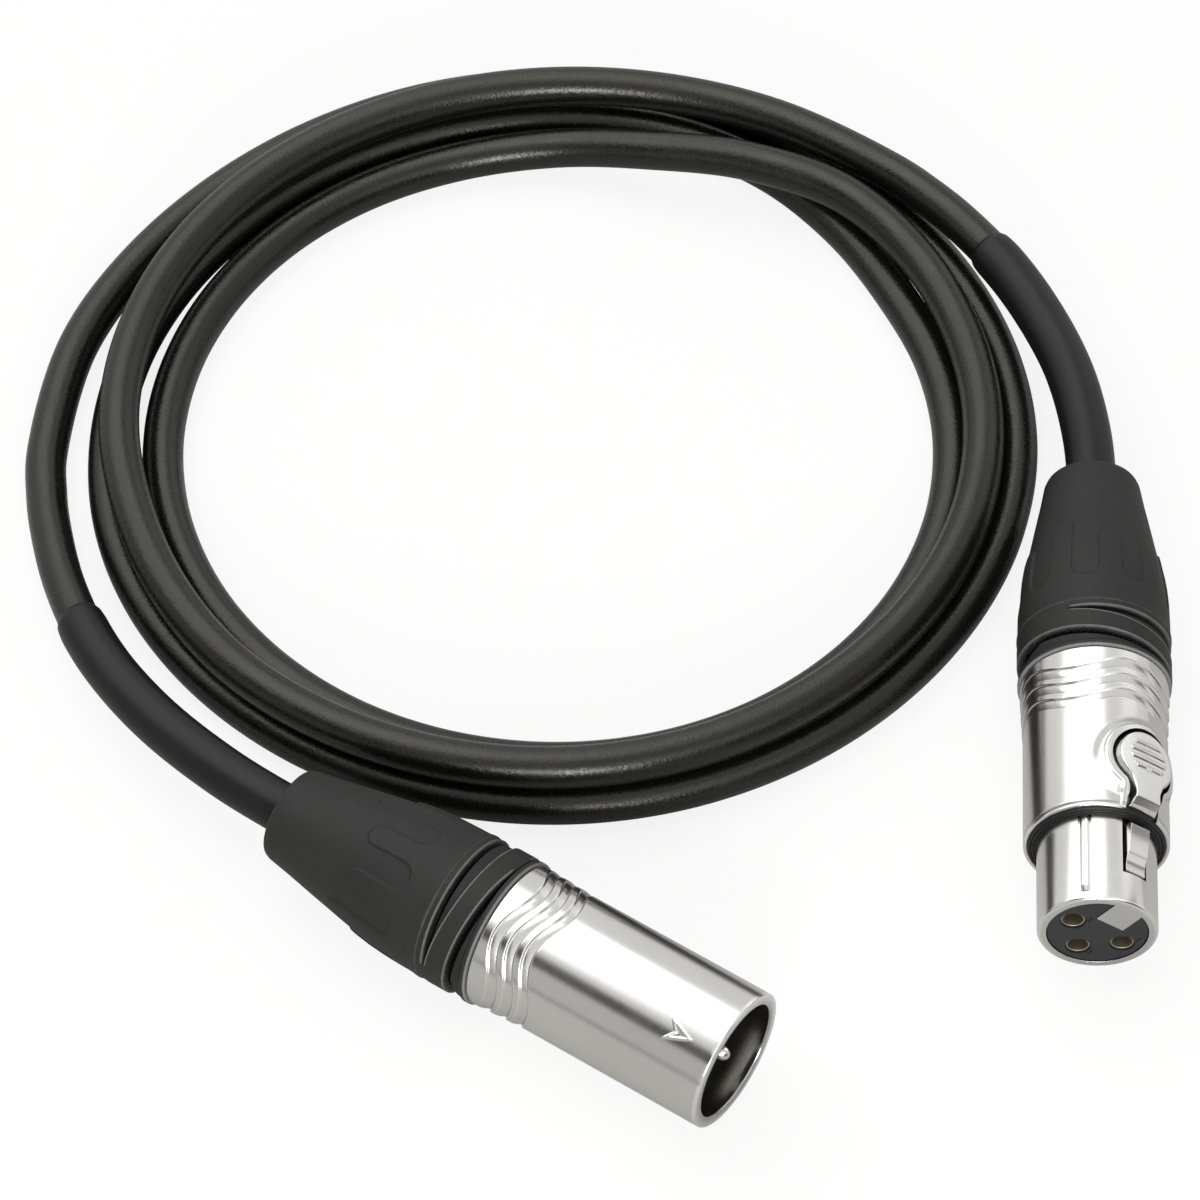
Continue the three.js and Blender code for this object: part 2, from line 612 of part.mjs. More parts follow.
/** Outline of the ridged rear of a shell, up to its smooth barrel. */
function ridgedRear() {
  const pitch = RIDGE_ZONE / (RIDGE_COUNT + 0.5);
  const outline = [[SHELL_START, BORE_RADIUS], [SHELL_START, SHELL_REAR_RADIUS - SHELL_EDGE],
    [SHELL_START + SHELL_EDGE, SHELL_REAR_RADIUS]];
  for (let i = 0; i < RIDGE_COUNT; i += 1) {
    const middle = SHELL_START + (i + 1) * pitch;
    outline.push([middle - pitch * 0.3, SHELL_REAR_RADIUS], [middle, SHELL_REAR_RADIUS + RIDGE_RISE],
      [middle + pitch * 0.3, SHELL_REAR_RADIUS]);
  }
  outline.push([SHELL_START + RIDGE_ZONE, BARREL_RADIUS]);
  return outline;
}

/** Places of the three contacts about the axis: left and right of the key, and opposite it. */
const contactPlaces = [90, -90, 180].map((angle) => [
  CONTACT_CIRCLE_RADIUS * Math.sin(radians(angle)), CONTACT_CIRCLE_RADIUS * Math.cos(radians(angle))]);

/** Shifts a piece to each contact's place in turn. */
function atContacts(make) {
  return contactPlaces.map(([y, z], i) => make(i + 1).translate(0, y, z));
}

/** The outline of a contact's solder cup, from its open rear to the insert. */
const cupOutline = [
  [CUP_START + CUP_LENGTH / 2, 0], [CUP_START + CUP_LENGTH / 2, CUP_RADIUS - CUP_WALL],
  [CUP_START, CUP_RADIUS - CUP_WALL], [CUP_START, CUP_RADIUS], [INSERT_START, CUP_RADIUS],
];

/** The three conductors, fanned from the jacket's end to the solder cups. */
function conductors(prefix) {
  const colours = ['copper', 'white', 'red'];
  return contactPlaces.map(([y, z], i) => {
    const spread = CONDUCTOR_SPREAD / CONTACT_CIRCLE_RADIUS;
    const from = CHUCK_END + FACE_GAP;
    const to = CUP_START - FACE_GAP;
    const reach = to - from;
    const path = new THREE.CatmullRomCurve3([
      new THREE.Vector3(from, y * spread, z * spread),
      new THREE.Vector3(from + reach * 0.35, y * (0.3 + spread * 0.7), z * (0.3 + spread * 0.7)),
      new THREE.Vector3(from + reach * 0.7, y * 0.95, z * 0.95),
      new THREE.Vector3(to, y, z),
    ]);
    const wire = alongCurve(ringShape(SIDES_OF_CABLE, CONDUCTOR_RADIUS), path, 6);
    return piece(`${prefix}_conductor_${i + 1}`, colours[i], wire);
  });
}

/** Boot, bushing, ring, chuck and conductors of one connector. */
function rearPieces(prefix) {
  return [
    piece(`${prefix}_boot`, 'rubber', boot()),
    piece(`${prefix}_bushing`, 'plastic', bushing()),
    piece(`${prefix}_ring`, 'plastic', ring()),
    piece(`${prefix}_chuck`, 'plastic', chuck()),
    ...conductors(prefix),
  ];
}

// ---------------------------------------------------------------- male connector

/** The male shell: ridged rear, smooth barrel and open mouth with a catch for the latch. */
function maleShell() {
  const recess = MOUTH - LATCH_RECESS_START;
  return turned([
    ...ridgedRear(),
    [MOUTH - MOUTH_CHAMFER, BARREL_RADIUS], [MOUTH, BARREL_RADIUS - MOUTH_CHAMFER],
    [MOUTH, MOUTH_RADIUS + MOUTH_CHAMFER], [MOUTH - MOUTH_CHAMFER, MOUTH_RADIUS],
    [recess, MOUTH_RADIUS], [recess, MOUTH_RADIUS + LATCH_RECESS_DEPTH],
    [recess - LATCH_RECESS_LENGTH, MOUTH_RADIUS + LATCH_RECESS_DEPTH],
    [recess - LATCH_RECESS_LENGTH, MOUTH_RADIUS],
    [FLANGE_END + FACE_GAP, MOUTH_RADIUS], [FLANGE_END + FACE_GAP, BORE_RADIUS],
  ]);
}

/** The insulator that carries the pins, with a keyway in its face. */
function maleInsert() {
  const face = MOUTH - MALE_INSERT_DEPTH;
  const disc = solid(turned([
    [INSERT_START, 0], [INSERT_START, BUSHING_RADIUS], [FLANGE_END, BUSHING_RADIUS],
    [FLANGE_END, MOUTH_RADIUS - FIT], [face, MOUTH_RADIUS - FIT], [face, 0],
  ]));
  const keyway = block([face - KEYWAY_DEPTH, -KEY_WIDTH / 2, INSERT_RADIUS - KEY_HEIGHT],
    [face + CUT_MARGIN, KEY_WIDTH / 2, MOUTH_RADIUS]);
  const hole = tubeCutter(INSERT_START - CUT_MARGIN, face + CUT_MARGIN, PIN_RADIUS + FIT);
  return geometryOf([keyway, ...atContacts(() => hole.clone())]
    .reduce((left, cut) => left.subtract(solid(cut)), disc));
}

/** A round cutter along X. */
function tubeCutter(start, end, radius) {
  return turned([[start, 0], [start, radius], [end, radius], [end, 0]], SMALL_SEGMENTS);
}

/** One round-nosed pin with its solder cup. */
function pin() {
  const tip = MOUTH - PIN_SETBACK;
  return turned([
    ...cupOutline.slice(0, -1), [INSERT_START - FACE_GAP, CUP_RADIUS],
    [INSERT_START - FACE_GAP, PIN_RADIUS], [tip - PIN_RADIUS, PIN_RADIUS],
    [tip - PIN_RADIUS / 2, PIN_RADIUS * 0.87], [tip - PIN_RADIUS * 0.13, PIN_RADIUS / 2], [tip, 0],
  ], SMALL_SEGMENTS);
}

/** All pieces of the male connector, along +X from its cable entry. */
function maleConnector() {
  const connector = new THREE.Group();
  const keyed = new THREE.Group();
  keyed.rotation.x = radians(MALE_ROLL);
  keyed.add(
    ...rearPieces('male'),
    piece('male_shell', 'nickel', maleShell()),
    piece('male_insert', 'insulator', maleInsert()),
    ...atContacts(() => pin()).map((shape, i) => piece(`male_pin_${i + 1}`, 'contact', shape)),
  );
  connector.add(keyed);
  connector.position.set(MALE_ENTRY.x, MALE_ENTRY.y, AXIS_HEIGHT);
  return connector;
}

// ---------------------------------------------------------------- female connector

const PAD_CENTRE = BARREL_END - PAD_SETBACK;
const PAD_FRONT = BARREL_END - PAD_NECK_SETBACK;
const PIVOT_X = INSERT_START + LATCH_PIVOT_SETBACK;
const CHANNEL_HALF = LATCH_WIDTH / 2 + LATCH_SIDE_GAP;
const CHANNEL_FLOOR = LATCH_HEIGHT - LATCH_DROP;
const HOOK_BACK = BARREL_END + HOOK_START;
const HOOK_END = HOOK_BACK + HOOK_LENGTH;

/** Outline of the latch's pad: a round press with a neck that runs forward. */
function padShape(margin, front) {
  const radius = PAD_RADIUS + margin;
  const half = LATCH_WIDTH / 2 + margin;
  const meet = Math.asin(half / radius);
  const shape = new THREE.Shape();
  shape.moveTo(front, -half);
  shape.lineTo(front, half);
  shape.absarc(PAD_CENTRE, 0, radius, meet, 2 * Math.PI - meet, false);
  return shape;
}

/** The female barrel, with a raised surround and an opening for the pad. */
function femaleBarrel() {
  const whole = solid(turned([
    ...ridgedRear(),
    [BARREL_END - SHELL_EDGE, BARREL_RADIUS], [BARREL_END, BARREL_RADIUS - SHELL_EDGE / 2],
    [BARREL_END, BORE_RADIUS],
  ]));
  const crown = tube(PAD_CENTRE - PAD_RADIUS - SURROUND_WIDTH, PAD_FRONT,
    BORE_RADIUS, BARREL_RADIUS + SURROUND_RISE, 2 * SEGMENTS);
  const surround = solid(crown).intersect(
    solid(raised(padShape(SURROUND_WIDTH, PAD_FRONT + CUT_MARGIN), 0, BARREL_RADIUS + CUT_MARGIN)));
  const opening = raised(padShape(LATCH_SIDE_GAP, BARREL_END + CUT_MARGIN), 0, BARREL_RADIUS + CUT_MARGIN);
  return geometryOf(joined(whole, surround).subtract(solid(opening)));
}

/** The nose that enters a male mouth, slotted for the latch and grooved for the ground contact. */
function nose() {
  const bore = NOSE_RADIUS - NOSE_WALL;
  const flangeFront = BARREL_END - NOSE_FLANGE_SETBACK;
  const flangeBack = flangeFront - NOSE_FLANGE_LENGTH;
  const whole = solid(turned([
    [flangeBack, bore], [flangeBack, BUSHING_RADIUS], [flangeFront, BUSHING_RADIUS],
    [flangeFront, NOSE_RADIUS], [NOSE_END - NOSE_CHAMFER, NOSE_RADIUS],
    [NOSE_END, NOSE_RADIUS - NOSE_CHAMFER], [NOSE_END, bore],
  ]));
  const window = block([flangeBack - CUT_MARGIN, -CHANNEL_HALF, 0],
    [HOOK_END + LATCH_SIDE_GAP, CHANNEL_HALF, BUSHING_RADIUS + CUT_MARGIN]);
  const groove = block(
    [groundStart - FACE_GAP, -GROUND_WIDTH / 2 - FIT, NOSE_RADIUS - GROUND_DEPTH],
    [groundStart + GROUND_LENGTH + FACE_GAP, GROUND_WIDTH / 2 + FIT, NOSE_RADIUS + CUT_MARGIN])
    .rotateX(radians(GROUND_ANGLE));
  const key = block([INSERT_FACE - KEY_DEPTH + KEY_SETBACK, FACE_GAP - KEY_WIDTH / 2,
    INSERT_RADIUS - KEY_HEIGHT + FACE_GAP], [NOSE_END - FIT, KEY_WIDTH / 2 - FACE_GAP, bore + NOSE_WALL / 2]);
  return geometryOf(joined(whole.subtract(solid(window)).subtract(solid(groove)), solid(key)));
}

const groundStart = SEAL_START + SEAL_LENGTH + GROUND_START;

/** The ground contact, a raised rib in the nose's groove. */
function groundContact() {
  return block([groundStart, -GROUND_WIDTH / 2, NOSE_RADIUS - GROUND_DEPTH + FIT],
    [groundStart + GROUND_LENGTH, GROUND_WIDTH / 2, NOSE_RADIUS + GROUND_RISE])
    .rotateX(radians(GROUND_ANGLE));
}

/** The soft seal between barrel and nose. */
function seal() {
  return tube(SEAL_START, SEAL_START + SEAL_LENGTH, NOSE_RADIUS + FIT, BUSHING_RADIUS);
}

/** The insulator that carries the sockets, with a channel for the latch and a key notch. */
function femaleInsert() {
  const whole = solid(turned([
    [INSERT_START, 0], [INSERT_START, BUSHING_RADIUS], [FLANGE_END, BUSHING_RADIUS],
    [FLANGE_END, INSERT_RADIUS], [INSERT_FACE, INSERT_RADIUS], [INSERT_FACE, 0],
  ]));
  const channel = block([INSERT_START - CUT_MARGIN, -CHANNEL_HALF, CHANNEL_FLOOR],
    [HOOK_END + LATCH_SIDE_GAP, CHANNEL_HALF, BUSHING_RADIUS + CUT_MARGIN]);
  const key = block([INSERT_FACE - KEY_DEPTH, -KEY_WIDTH / 2, INSERT_RADIUS - KEY_HEIGHT],
    [INSERT_FACE + CUT_MARGIN, KEY_WIDTH / 2, INSERT_RADIUS + CUT_MARGIN]);
  const pinHole = new THREE.CylinderGeometry(LATCH_PIN_RADIUS + FIT, LATCH_PIN_RADIUS + FIT,
    2 * latchPinReach + 2 * FACE_GAP, SMALL_SEGMENTS).translate(PIVOT_X, 0, LATCH_PIVOT_HEIGHT);
  const seats = atContacts(() => turned([
    [INSERT_START - CUT_MARGIN, 0], [INSERT_START - CUT_MARGIN, SOCKET_RADIUS + FIT],
    [INSERT_FACE - SOCKET_SETBACK + FACE_GAP, SOCKET_RADIUS + FIT],
    [INSERT_FACE - SOCKET_SETBACK + FACE_GAP, PIN_RADIUS + FIT / 2],
    [INSERT_FACE + CUT_MARGIN, PIN_RADIUS + FIT / 2], [INSERT_FACE + CUT_MARGIN, 0],
  ], SMALL_SEGMENTS));
  return geometryOf([channel, key, pinHole, ...seats].reduce((left, cut) => left.subtract(solid(cut)), whole));
}

/** One socket: a bored barrel in front and a solder cup behind. */
function socket() {
  const front = INSERT_FACE - SOCKET_SETBACK;
  return turned([
    ...cupOutline, [INSERT_START, SOCKET_RADIUS], [front, SOCKET_RADIUS],
    [front, PIN_RADIUS + FIT / 2], [front - SOCKET_BORE_DEPTH, PIN_RADIUS + FIT / 2],
    [front - SOCKET_BORE_DEPTH, 0],
  ], SMALL_SEGMENTS);
}

const latchPinReach = CHANNEL_HALF + LATCH_PIN_SEAT;

/** The pin that the latch turns on. */
function latchPin() {
  return new THREE.CylinderGeometry(LATCH_PIN_RADIUS, LATCH_PIN_RADIUS, 2 * latchPinReach, SMALL_SEGMENTS)
    .translate(PIVOT_X, 0, LATCH_PIVOT_HEIGHT);
}

/** The latch: knuckle, lever, press pad and hook in one casting. */
function latch() {
  const top = LATCH_HEIGHT + LATCH_THICKNESS;
  const side = new THREE.Shape();
  side.moveTo(PIVOT_X, LATCH_HEIGHT);
  side.lineTo(HOOK_END, LATCH_HEIGHT);
  side.lineTo(HOOK_END, LATCH_HEIGHT + LATCH_THICKNESS / 2);
  side.quadraticCurveTo(HOOK_END - HOOK_LENGTH * 0.2, top + HOOK_RISE,
    HOOK_END - HOOK_LENGTH * 0.5, top + HOOK_RISE);
  side.lineTo(HOOK_BACK + HOOK_LENGTH * 0.45, top - FIT);
  side.lineTo(HOOK_BACK, top - FIT);
  side.lineTo(HOOK_BACK - HOOK_STEP, top - 2 * FIT);
  side.lineTo(PIVOT_X, top - 2 * FIT);
  const lever = new THREE.ExtrudeGeometry(side, { depth: LATCH_WIDTH, bevelEnabled: false, curveSegments: 5 })
    .rotateX(Math.PI / 2).translate(0, LATCH_WIDTH / 2, 0);
  const knuckle = new THREE.CylinderGeometry(KNUCKLE_RADIUS, KNUCKLE_RADIUS, LATCH_WIDTH, 2 * SMALL_SEGMENTS)
    .translate(PIVOT_X, 0, LATCH_PIVOT_HEIGHT);
  const bore = LATCH_PIN_RADIUS + LATCH_PIN_CLEARANCE;
  const eye = new THREE.CylinderGeometry(bore, bore, LATCH_WIDTH + 2 * CUT_MARGIN, SMALL_SEGMENTS)
    .translate(PIVOT_X, 0, LATCH_PIVOT_HEIGHT);
  const crown = turned([[PAD_CENTRE - 2 * PAD_RADIUS, 0], [PAD_CENTRE - 2 * PAD_RADIUS, PAD_HEIGHT],
    [BARREL_END, PAD_HEIGHT], [BARREL_END, 0]], 2 * SEGMENTS);
  const pad = solid(raised(padShape(0, PAD_FRONT), LATCH_HEIGHT + LATCH_THICKNESS / 2, PAD_HEIGHT + CUT_MARGIN))
    .intersect(solid(crown));
  return geometryOf(joined(solid(lever), solid(knuckle), pad).subtract(solid(eye)));
}

/** The bowed leaf spring under the lever. */
function latchSpring() {
  const start = PAD_CENTRE - SPRING_LENGTH / 2;
  const low = CHANNEL_FLOOR + FIT;
  const crest = LATCH_HEIGHT - FACE_GAP;
  const bow = (lift) => new THREE.QuadraticBezierCurve(
    new THREE.Vector2(start, low + lift),
    new THREE.Vector2(start + SPRING_LENGTH / 2, 2 * (crest - SPRING_THICKNESS) - low + lift),
    new THREE.Vector2(start + SPRING_LENGTH, low + lift)).getPoints(10);
  const shape = new THREE.Shape([...bow(0), ...bow(SPRING_THICKNESS).reverse()]);
  return new THREE.ExtrudeGeometry(shape, { depth: SPRING_WIDTH, bevelEnabled: false })
    .rotateX(Math.PI / 2).translate(0, SPRING_WIDTH / 2, 0);
}

/** All pieces of the female connector, along its own X from its cable entry. */
function femaleConnector() {
  const connector = new THREE.Group();
  const keyed = new THREE.Group();
  keyed.rotation.x = radians(FEMALE_ROLL);
  keyed.add(
    ...rearPieces('female'),
    piece('female_barrel', 'nickel', femaleBarrel()),
    piece('female_nose', 'nickel', nose()),
    piece('female_seal', 'plastic', seal()),
    piece('female_insert', 'insulator', femaleInsert()),
    ...atContacts(() => socket()).map((shape, i) => piece(`female_socket_${i + 1}`, 'contact', shape)),
    piece('female_ground_contact', 'nickel', closeUp(groundContact())),
    piece('female_latch', 'nickel', latch()),
    piece('female_latch_pin', 'steel', closeUp(latchPin())),
    piece('female_latch_spring', 'steel', closeUp(latchSpring())),
  );
  connector.add(keyed);
  connector.position.set(FEMALE_ENTRY.x, FEMALE_ENTRY.y, AXIS_HEIGHT);
  connector.rotation.z = radians(FEMALE_HEADING);
  return connector;
}

// ---------------------------------------------------------------- assembly

const route = coilPoints();
const coilGap = leastGap(route, CABLE_DIAMETER);
console.log(`least gap in the coil: ${coilGap.toFixed(2)} mm`);

const assembly = new THREE.Group();
const connectors = new THREE.Group();
connectors.add(maleConnector(), femaleConnector());
assembly.add(
  piece('cable_coil', 'jacket', sweptCable(route, CABLE_RADIUS, SIDES_OF_CABLE)),
  ...lead('male', route[0], route[1], MALE_LEAD, MALE_ENTRY, 0),
  ...lead('female', route[route.length - 1], route[route.length - 2], FEMALE_LEAD,
    FEMALE_ENTRY, radians(FEMALE_HEADING)),
  connectors,
);
connectors.updateMatrixWorld(true);
const extent = new THREE.Box3().setFromObject(connectors, true);
const middle = extent.getCenter(new THREE.Vector3());
assembly.position.set(-middle.x, -middle.y, -extent.min.z);

export default assembly;
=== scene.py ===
"""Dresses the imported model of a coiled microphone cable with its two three-pin connectors.

The cable is one tube along the route that the CAD source also follows. Each connector is a set
of turned, relief-modelled and cut pieces in its own frame: x runs from the cable entry to the
mouth, z towards the latch or key, in millimetres until a piece is placed.
"""

from __future__ import annotations

import json
import logging
import math
from dataclasses import dataclass
from enum import Enum
from typing import Callable, Sequence

import bmesh
import bpy
import numpy as np
from mathutils import Matrix, Vector

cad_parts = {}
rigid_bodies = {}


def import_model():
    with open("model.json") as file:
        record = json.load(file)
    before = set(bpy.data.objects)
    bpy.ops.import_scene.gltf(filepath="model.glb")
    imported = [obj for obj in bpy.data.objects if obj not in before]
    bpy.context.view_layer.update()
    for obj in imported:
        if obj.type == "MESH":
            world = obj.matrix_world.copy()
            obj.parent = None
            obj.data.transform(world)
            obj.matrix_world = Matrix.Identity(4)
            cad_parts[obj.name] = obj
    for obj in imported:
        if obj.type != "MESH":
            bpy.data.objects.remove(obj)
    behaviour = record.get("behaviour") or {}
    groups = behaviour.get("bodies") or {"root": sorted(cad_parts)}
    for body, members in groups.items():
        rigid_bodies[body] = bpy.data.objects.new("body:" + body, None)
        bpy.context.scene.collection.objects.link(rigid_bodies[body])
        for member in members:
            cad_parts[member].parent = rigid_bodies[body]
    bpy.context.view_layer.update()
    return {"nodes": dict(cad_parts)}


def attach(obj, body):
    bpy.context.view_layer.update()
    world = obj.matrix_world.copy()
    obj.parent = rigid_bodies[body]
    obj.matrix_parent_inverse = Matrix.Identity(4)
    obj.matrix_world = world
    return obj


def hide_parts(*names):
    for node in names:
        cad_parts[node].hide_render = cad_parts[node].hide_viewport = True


LOG = logging.getLogger("cable")
MM = 0.001

Points = list[tuple[float, float]]
Relief = Callable[[np.ndarray, np.ndarray, np.ndarray], np.ndarray]


# ---------------------------------------------------------------- node tools


class Group:
    """A shader node group that is filled step by step."""

    def __init__(self, name: str, inputs: dict[str, float | tuple], outputs: dict[str, str]):
        """Makes the group and its sockets.

        Args:
            name: the group's name.
            inputs: socket names with default values; a tuple makes a colour.
            outputs: socket names with their kind, Float, Color or Vector.
        """
        self.tree = bpy.data.node_groups.new(name, "ShaderNodeTree")
        for label, value in inputs.items():
            kind = "NodeSocketColor" if isinstance(value, tuple) else "NodeSocketFloat"
            socket = self.tree.interface.new_socket(label, in_out="INPUT", socket_type=kind)
            socket.default_value = value
        for label, kind in outputs.items():
            self.tree.interface.new_socket(label, in_out="OUTPUT", socket_type=f"NodeSocket{kind}")
        self.source = self.tree.nodes.new("NodeGroupInput")
        self.target = self.tree.nodes.new("NodeGroupOutput")

    def node(self, kind: str, inputs: dict | None = None, **settings):
        """Adds a node.

        Args:
            kind: the node's type without its ShaderNode prefix.
            inputs: values or sockets by input name or index.
            settings: properties of the node.

        Returns:
            The new node.
        """
        return add_node(self.tree, kind, inputs, **settings)

    def math(self, operation: str, *values):
        """Adds a Math node and returns its output."""
        return self.node("Math", dict(enumerate(values)), operation=operation).outputs[0]

    def finish(self, **outputs):
        """Links sockets to the group's outputs and returns the tree."""
        for label, socket in outputs.items():
            self.tree.links.new(socket, self.target.inputs[label])
        return self.tree


def add_node(tree, kind: str, inputs: dict | None = None, **settings):
    """Adds a shader node with its settings, values and links.

    Args:
        tree: the node tree.
        kind: the node's type without its ShaderNode prefix.
        inputs: values or sockets by input name or index.
        settings: properties of the node.

    Returns:
        The new node.
    """
    node = tree.nodes.new(f"ShaderNode{kind}")
    for label, value in settings.items():
        setattr(node, label, value)
    for label, value in (inputs or {}).items():
        if isinstance(value, bpy.types.NodeSocket):
            tree.links.new(value, node.inputs[label])
        else:
            node.inputs[label].default_value = value
    return node


def grain_group() -> bpy.types.NodeTree:
    """Fine moulded or plated grain: a normal and a roughness that vary from grain to grain.

    Returns:
        The group, with a size and a depth in metres, a middle roughness and its spread.
    """
    group = Group(
        "Grain",
        {"Size": 0.0002, "Depth": 0.00001, "Roughness": 0.5, "Spread": 0.1},
        {"Normal": "Vector", "Roughness": "Float"},
    )
    put = group.source.outputs
    place = group.node("TexCoord").outputs["Object"]
    scale = group.math("DIVIDE", 1.0, put["Size"])
    fine = group.node("TexNoise", {"Vector": place, "Scale": scale, "Detail": 3.0, "Roughness": 0.6})
    coarse_scale = group.math("MULTIPLY", scale, 0.07)
    coarse = group.node("TexNoise", {"Vector": place, "Scale": coarse_scale, "Detail": 4.0})
    bump = group.node("Bump", {"Height": fine.outputs["Fac"], "Distance": put["Depth"], "Strength": 1.0})
    swing = group.math("SUBTRACT", group.math("ADD", fine.outputs["Fac"], coarse.outputs["Fac"]), 1.0)
    rough = group.math("ADD", put["Roughness"], group.math("MULTIPLY", swing, put["Spread"]))
    return group.finish(Normal=bump.outputs["Normal"], Roughness=rough)


def mottle_group() -> bpy.types.NodeTree:
    """Slow drift between two colours, with a finer fleck on top.

    Returns:
        The group, with two colours and the size of the drift in metres.
    """
    group = Group(
        "Mottle",
        {"Base": (0.5, 0.5, 0.5, 1.0), "Drift": (0.5, 0.5, 0.5, 1.0), "Size": 0.01, "Fleck": 0.3},
        {"Color": "Color"},
    )
    put = group.source.outputs
    place = group.node("TexCoord").outputs["Object"]
    scale = group.math("DIVIDE", 1.0, put["Size"])
    slow = group.node("TexNoise", {"Vector": place, "Scale": scale, "Detail": 5.0, "Roughness": 0.55})
    fine_scale = group.math("MULTIPLY", scale, 45.0)
    quick = group.node("TexNoise", {"Vector": place, "Scale": fine_scale, "Detail": 2.0})
    fleck = group.math("MULTIPLY", group.math("SUBTRACT", quick.outputs["Fac"], 0.5), put["Fleck"])
    share = group.node(
        "MapRange", {"Value": group.math("ADD", slow.outputs["Fac"], fleck), "From Min": 0.3, "From Max": 0.7}
    )
    mix = mixed_colour(group.tree, share.outputs["Result"], put["Base"], put["Drift"])
    return group.finish(Color=mix)


def mixed_colour(tree, share, first, second, blend: str = "MIX"):
    """Mixes two colours.

    Args:
        tree: the node tree.
        share: how much of the second colour, as a socket.
        first: a colour, or its socket.
        second: a colour, or its socket.
        blend: how they mix.

    Returns:
        The socket of the mixed colour.
    """
    colours = {0: share, 6: first, 7: second}
    return add_node(tree, "Mix", colours, data_type="RGBA", blend_type=blend).outputs[2]


def wear_and_painted_light_group() -> bpy.types.NodeTree:
    """Polished edges that also carry painted highlights, and painted shade in hollows, from the masks that
    the mesh builders paint.

    Returns:
        The group, whose Edge output is 1 on a polished edge with a painted highlight and Hollow is 1 in a
        groove, where painted shade goes.
    """
    group = Group("WearAndPaintedLight", {"Break": 0.35}, {"Edge": "Float", "Hollow": "Float"})
    place = group.node("TexCoord").outputs["Object"]
    noise = group.node("TexNoise", {"Vector": place, "Scale": 900.0, "Detail": 4.0})
    loss = group.math("MULTIPLY", noise.outputs["Fac"], group.source.outputs["Break"])
    edge = group.node("Attribute", attribute_name="edge").outputs["Fac"]
    hollow = group.node("Attribute", attribute_name="hollow").outputs["Fac"]
    return group.finish(
        Edge=group.node("Clamp", {"Value": group.math("SUBTRACT", edge, loss)}).outputs[0],
        Hollow=hollow,
    )


# ---------------------------------------------------------------- finishes


@dataclass(frozen=True)
class Finish:
    """One procedural finish.

    Attributes:
        name: the material's name.
        colour: linear base colour.
        drift: the colour that it drifts to.
        metallic: 0 or 1.
        roughness: middle roughness.
        spread: how far the roughness varies.
        grain: size of the grain in metres.
        depth: depth of the grain in metres.
        edge_colour: colour on edges, for polish wear and a painted highlight.
        edge_roughness: roughness on those edges.
        hollow_shade: what the colour is multiplied by in hollows.
        specular: specular level.
        tint: colour of the sheen of a surface that isn't metal.
        drift_size: size of the colour drift in metres.
    """

    name: str
    colour: tuple[float, float, float]
    drift: tuple[float, float, float]
    metallic: float = 0.0
    roughness: float = 0.5
    spread: float = 0.1
    grain: float = 0.0002
    depth: float = 0.000006
    edge_colour: tuple[float, float, float] | None = None
    edge_roughness: float = 0.2
    hollow_shade: float = 0.6
    specular: float = 0.5
    tint: tuple[float, float, float] = (1.0, 1.0, 1.0)
    drift_size: float = 0.012


